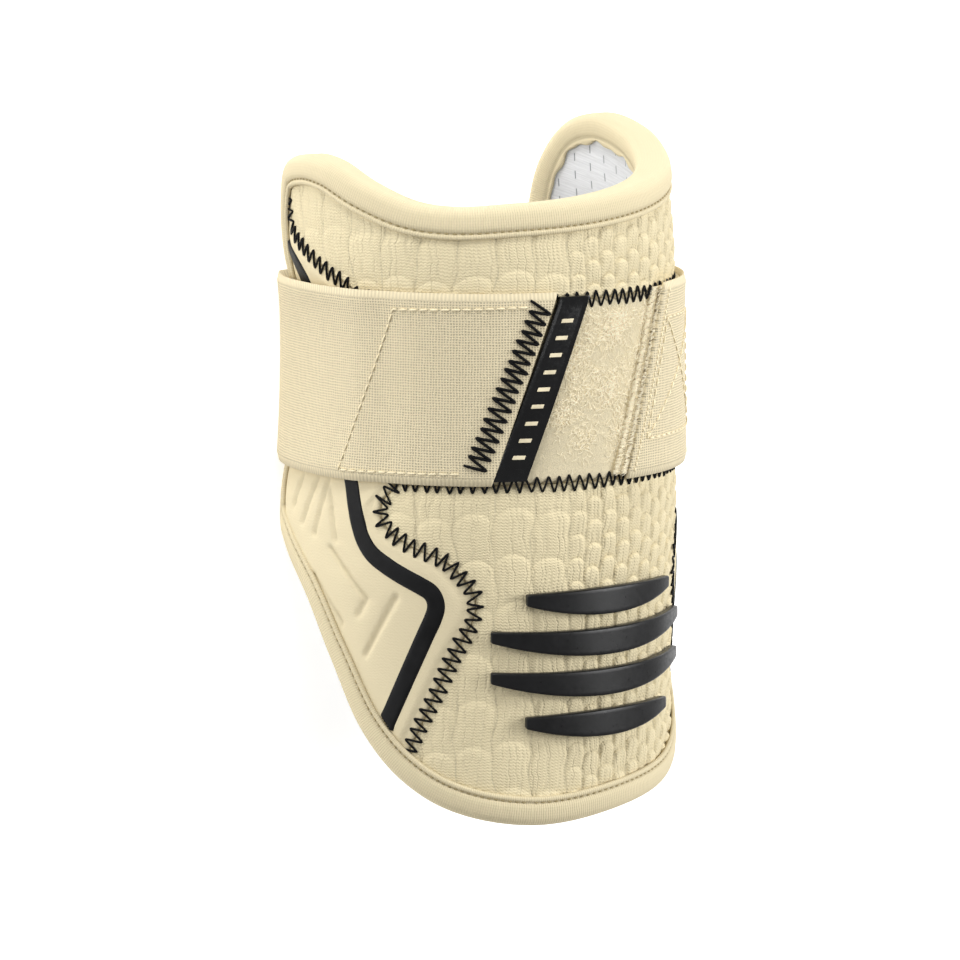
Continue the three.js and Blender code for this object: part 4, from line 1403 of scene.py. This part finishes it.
class ELBOWGUARD_OT_label(bpy.types.Operator):
    """Make the moulded strip at the strap's sewn end, with a row of plain bars"""

    bl_idname = "elbowguard.label"
    bl_label = "Label strip"

    def execute(self, context):
        low, high = STRAP_BASE + STRAP_MARGIN, STRAP_TOP - STRAP_MARGIN
        gap = math.degrees(2 * CLEARANCE / SHELL_RADIUS)
        width = math.degrees(LABEL_WIDTH / SHELL_RADIUS)
        lean = arc(STRAP_END[1] - STRAP_END[0]) / (high - low)
        middle = (STRAP_END[0] + STRAP_END[1]) / 2 + gap + width / 2
        height = (low + high) / 2
        radius = float(shell(arc(middle), height)) + CLEARANCE
        strip = flat_bar("label_strip_moulding", LABEL_WIDTH, high - low, LABEL_THICKNESS, 3)
        select("SELECT")
        bpy.ops.mesh.subdivide(number_cuts=1)
        bpy.ops.mesh.select_all(action="DESELECT")
        bpy.ops.object.mode_set(mode="OBJECT")
        for face in strip.data.polygons:
            face.select = face.center.z > LABEL_THICKNESS - 0.01 * MM
        bpy.ops.object.mode_set(mode="EDIT")
        bpy.ops.mesh.inset(thickness=0.95 * MM, depth=-0.45 * MM)
        bpy.ops.object.mode_set(mode="OBJECT")
        round_edges(strip, 0.3 * MM)
        for vertex in strip.data.vertices:
            vertex.co.x += vertex.co.y * lean
        wrap(strip, middle, height, radius)
        material = rubber_material("label_rubber", colour("black", 0.6), 0.22, 0.01 * MM, 0.4)
        finish_piece(strip, ["label_strip"], material)
        pale = rubber_material("label_inlay", colour("cream_thread"), 0.5, 0.01 * MM)
        bars = []
        for k in range(9):
            bar = flat_bar(f"label_bar_{k}", 3.4 * MM, 1.1 * MM, 0.3 * MM, 4)
            round_edges(bar, 0.1 * MM)
            offset = (k - 4) * 4.7 * MM
            for vertex in bar.data.vertices:
                vertex.co.y += offset
                vertex.co.x += vertex.co.y * lean
                vertex.co.z += 1.5 * MM
            wrap(bar, middle, height, radius)
            bars.append(bar)
        deselect()
        for bar in bars:
            bar.select_set(True)
        bpy.context.view_layer.objects.active = bars[0]
        bpy.ops.object.join()
        bars[0].name = "label_bars"
        finish_piece(bars[0], [], pale)
        return {"FINISHED"}


class ELBOWGUARD_OT_accent_bands(bpy.types.Operator):
    """Make the thin dark bands on the wings"""

    bl_idname = "elbowguard.accent_bands"
    bl_label = "Accent bands"

    def execute(self, context):
        material = rubber_material("black_film", colour("black"), 0.46, 0.02 * MM, 0.18)
        border = spline(OUTLINE_POINTS, np.linspace(0, 1, 1200), True)
        sides = ((-1, "left_band", "left_accent_band"), (1, "right_band", "right_accent_band"))
        for side, name, node in sides:
            middle = spaced(spline(on_side(side, ACCENT_LINE), np.linspace(0, 1, 801)), 400)
            along = np.gradient(middle, axis=0)
            for _ in range(6):
                along[1:-1] = (along[:-2] + 2 * along[1:-1] + along[2:]) / 4
            along /= np.linalg.norm(along, axis=1, keepdims=True)
            height = middle[:, 1] / STRAP_BASE
            width = 1 + 0.3 * smooth(height, 1.15, 1.45)
            width = width * np.sqrt(np.clip((1.67 - height) / 0.12, 0.04, 1))
            shares = np.linspace(-1, 1, 15)
            edges = []
            for share in shares:
                line = middle + left_of(along) * (share * ACCENT_HALF * width)[:, None]
                gap = np.min(np.linalg.norm(line[:, None] - border[None], axis=-1), axis=1)
                edges.append(spaced(line[gap > BINDING_WIDTH + 0.25 * MM], 240))
            grid = np.stack(edges, axis=0)
            under = shell(grid[..., 0], grid[..., 1])
            crown = 0.75 * MM * (1 - 0.75 * np.abs(shares[:, None]) ** 6)
            band = wall(name, grid, under + 0.2 * MM + crown, under + 0.15 * MM)
            finish_piece(band, [node], material)
        return {"FINISHED"}


# Stitching


def zigzag(line, pitch, width, radius_of, thread, lean=0.0):
    """A thread that zigzags over a line of plan points, dipping into the cloth at each turn."""
    turns = max(2, int(round(run_length(line)[-1] / (pitch / 2))))
    p = spaced(line, turns)
    along = np.gradient(p, axis=0)
    along /= np.linalg.norm(along, axis=1, keepdims=True)
    sign = np.where(np.arange(len(p)) % 2, 1, -1)[:, None]
    chance = np.random.default_rng(len(p))
    corners = p + left_of(along) * sign * width / 2 + along * sign * lean
    corners = corners + chance.normal(0, 0.05, p.shape) * pitch
    steps = 8
    t = np.arange(steps) / steps
    eased = (t - 0.045 * np.sin(2 * np.pi * t))[:, None]
    path = [a + (b - a) * eased for a, b in zip(corners[:-1], corners[1:])]
    path = np.vstack([*path, corners[-1:]])
    for _ in range(2):
        path[1:-1] = (path[:-2] + 2 * path[1:-1] + path[2:]) / 4
    lift = np.append(np.tile(np.abs(np.sin(np.pi * t)) ** 0.5, turns), 0.0)
    s, h = path.T
    return thread_line(s, h, radius_of(s, h) + thread * (0.1 + 0.75 * lift), 0.8 + 0.2 * lift)


def dashes(line, pitch, length, radius_of, thread):
    """Separate stitches along a line of plan points."""
    reach = run_length(line)
    count = max(1, int(reach[-1] / pitch))
    t = np.linspace(-0.5, 0.5, 6)
    made = []
    for k in range(count):
        s, h = read_line(line, reach, (k + 0.5) * reach[-1] / count + t * length).T
        radius = radius_of(s, h) + thread * (0.2 + 0.6 * np.cos(np.pi * t))
        made.append(thread_line(s, h, radius, np.array([0.45, 0.9, 1.0, 1.0, 0.9, 0.45])))
    return made


def plan_line(points, count=60):
    """Straight runs between plan points given as an angle and a height in millimetres."""
    ends = np.array([(arc(a), h * MM) for a, h in points])
    return np.vstack([np.linspace(a, b, count) for a, b in zip(ends[:-1], ends[1:])])


class ELBOWGUARD_OT_seams(bpy.types.Operator):
    """Sew the black zigzag seams between the panels and at the strap's end"""

    bl_idname = "elbowguard.seams"
    bl_label = "Seams"

    def execute(self, context):
        thread = sizes().thread_width / 2
        pitch, width = sizes().zigzag_pitch, sizes().zigzag_width
        lines = []
        for curve in (LEFT_SEAM, RIGHT_SEAM):
            for low, high in ((0.35, SEAM_TOP), (SEAM_BASE, SEAM_END - 0.12)):
                lines.append(zigzag(evenly(curve, low, high, 300), pitch, width, shell, thread))
        for height, at in ((STRAP_BASE, SEAM_BASE), (LOOP_TOP, SEAM_TOP)):
            run = level(LEFT_SEAM(at), RIGHT_SEAM(at), height, 400)
            lines.append(zigzag(run, pitch, width * 0.85, shell, thread))
        black = thread_material("black_thread", (0.006, 0.006, 0.0065))
        piece = tubes("panel_seam_stitching", lines, thread)
        finish_piece(piece, [], black)
        heavy = plan_line([(-18.5, 146.5), (-37.5, 101.0)], 200)
        lines = [zigzag(heavy, 2.9 * MM, 7 * MM, strap_radius, HEAVY_THREAD, 0.2 * MM)]
        piece = tubes("strap_end_stitching", lines, HEAVY_THREAD)
        finish_piece(piece, [], black)
        return {"FINISHED"}


class ELBOWGUARD_OT_light_stitching(bpy.types.Operator):
    """Sew the light dashed stitching on the strap's two ends"""

    bl_idname = "elbowguard.light_stitching"
    bl_label = "Light stitching"

    def execute(self, context):
        low, high = STRAP_BASE / MM, STRAP_TOP / MM
        box = [(-22.5, 146.2), (-61.5, 145.1), (-79.5, 99.2), (-41.5, 100.0)]
        edge = [(HOOK_END[0] + 4.4, low + 1.6), (HOOK_END[1] + 4.4, high - 1.6)]
        tab = [(27.5, 140), (52, 140), (52, 107), (16.2, 107), (27.5, 140), (52, 107)]
        cross = [(16.2, 107), (52, 140)]
        lines = []
        for points, pitch, length, thread in (
            (box, 3.0, 2.3, 0.3),
            (edge, 1.6, 1.1, 0.22),
            (tab, 3.0, 2.2, 0.26),
            (cross, 3.0, 2.2, 0.26),
        ):
            lines += dashes(plan_line(points), pitch * MM, length * MM, strap_radius, thread * MM)
        piece = tubes("light_stitching", lines, 0.3 * MM, 5)
        finish_piece(piece, [], thread_material("light_thread", colour("cream_thread")))
        return {"FINISHED"}


class ELBOWGUARD_OT_stage(bpy.types.Operator):
    """Set out the floor, the lights and the camera"""

    bl_idname = "elbowguard.stage"
    bl_label = "Stage"

    def execute(self, context):
        scene = context.scene
        deselect()
        bpy.ops.mesh.primitive_plane_add(size=6, location=(0, 0, 0))
        floor = context.object
        floor.name = "floor"
        pale = Recipe("pale_floor", colour("floor"), 0.9, glow=0.6)
        floor.data.materials.append(pale.material)
        world = bpy.data.worlds.new("studio")
        scene.world = world
        world.use_nodes = True
        background = world.node_tree.nodes["Background"]
        background.inputs["Color"].default_value = (1, 1, 1, 1)
        background.inputs["Strength"].default_value = 0.35
        scene.view_settings.view_transform = "Standard"
        facing, rise, distance = math.radians(-36), math.radians(8.5), 1.6
        aim = np.array([0, -6.3 * MM, AXIS_HEIGHT])
        towards = np.array(
            [math.sin(facing) * math.cos(rise), math.sin(rise), math.cos(facing) * math.cos(rise)]
        )
        side = np.cross((0, 1, 0), towards)
        side /= np.linalg.norm(side)
        up = np.cross(towards, side)
        for name, offset, size, power in (
            ("left_softbox", 0.5 * towards - 0.9 * side + 0.2 * up, 0.5, 9),
            ("right_softbox", 0.25 * towards + 0.9 * side + 0.1 * up, 0.5, 7),
            ("top_softbox", 0.6 * towards + 0.85 * up - 0.1 * side, 0.35, 5),
        ):
            bpy.ops.object.light_add(type="AREA", location=tuple(aim + offset))
            lamp = context.object
            lamp.name = name
            lamp.data.size = size
            lamp.data.energy = power
            lamp.rotation_euler = (-Vector(offset.tolist())).to_track_quat("-Z", "Y").to_euler()
        view = np.eye(4)
        view[:3, :3] = np.stack([side, up, towards], axis=1)
        view[:3, 3] = aim + distance * towards
        bpy.ops.object.camera_add()
        camera = context.object
        camera.data.sensor_width = 36
        camera.data.lens = 209.4
        camera.data.clip_start = 0.1
        camera.data.clip_end = 50
        camera.matrix_world = Matrix(view.tolist())
        scene.camera = camera
        return {"FINISHED"}


OPERATORS = (
    ELBOWGUARD_OT_stage,
    ELBOWGUARD_OT_lining,
    ELBOWGUARD_OT_quilted_panels,
    ELBOWGUARD_OT_wings,
    ELBOWGUARD_OT_loop_band,
    ELBOWGUARD_OT_bound_edge,
    ELBOWGUARD_OT_strap,
    ELBOWGUARD_OT_hook_tape,
    ELBOWGUARD_OT_ribs,
    ELBOWGUARD_OT_label,
    ELBOWGUARD_OT_accent_bands,
    ELBOWGUARD_OT_seams,
    ELBOWGUARD_OT_light_stitching,
)


class ELBOWGUARD_PT_panel(bpy.types.Panel):
    """Lists the guard's sizes, colours and pieces"""

    bl_idname = "ELBOWGUARD_PT_panel"
    bl_label = "Elbow Guard"
    bl_space_type = "VIEW_3D"
    bl_region_type = "UI"
    bl_category = "Elbow Guard"

    def draw(self, context):
        for group in (context.scene.guard_sizes, context.scene.guard_colours):
            box = self.layout.box()
            for key in group.__annotations__:
                box.prop(group, key)
        for operator in OPERATORS:
            self.layout.operator(operator.bl_idname)


CLASSES = (GuardSizes, GuardColours, *OPERATORS, ELBOWGUARD_PT_panel)


def register():
    for item in CLASSES:
        bpy.utils.register_class(item)
    bpy.types.Scene.guard_sizes = bpy.props.PointerProperty(type=GuardSizes)
    bpy.types.Scene.guard_colours = bpy.props.PointerProperty(type=GuardColours)


def unregister():
    del bpy.types.Scene.guard_colours
    del bpy.types.Scene.guard_sizes
    for item in reversed(CLASSES):
        bpy.utils.unregister_class(item)


def main():
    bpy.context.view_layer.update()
    register()
    for operator in OPERATORS:
        group, name = operator.bl_idname.split(".")
        getattr(getattr(bpy.ops, group), name)()


if __name__ == "__main__":
    main()
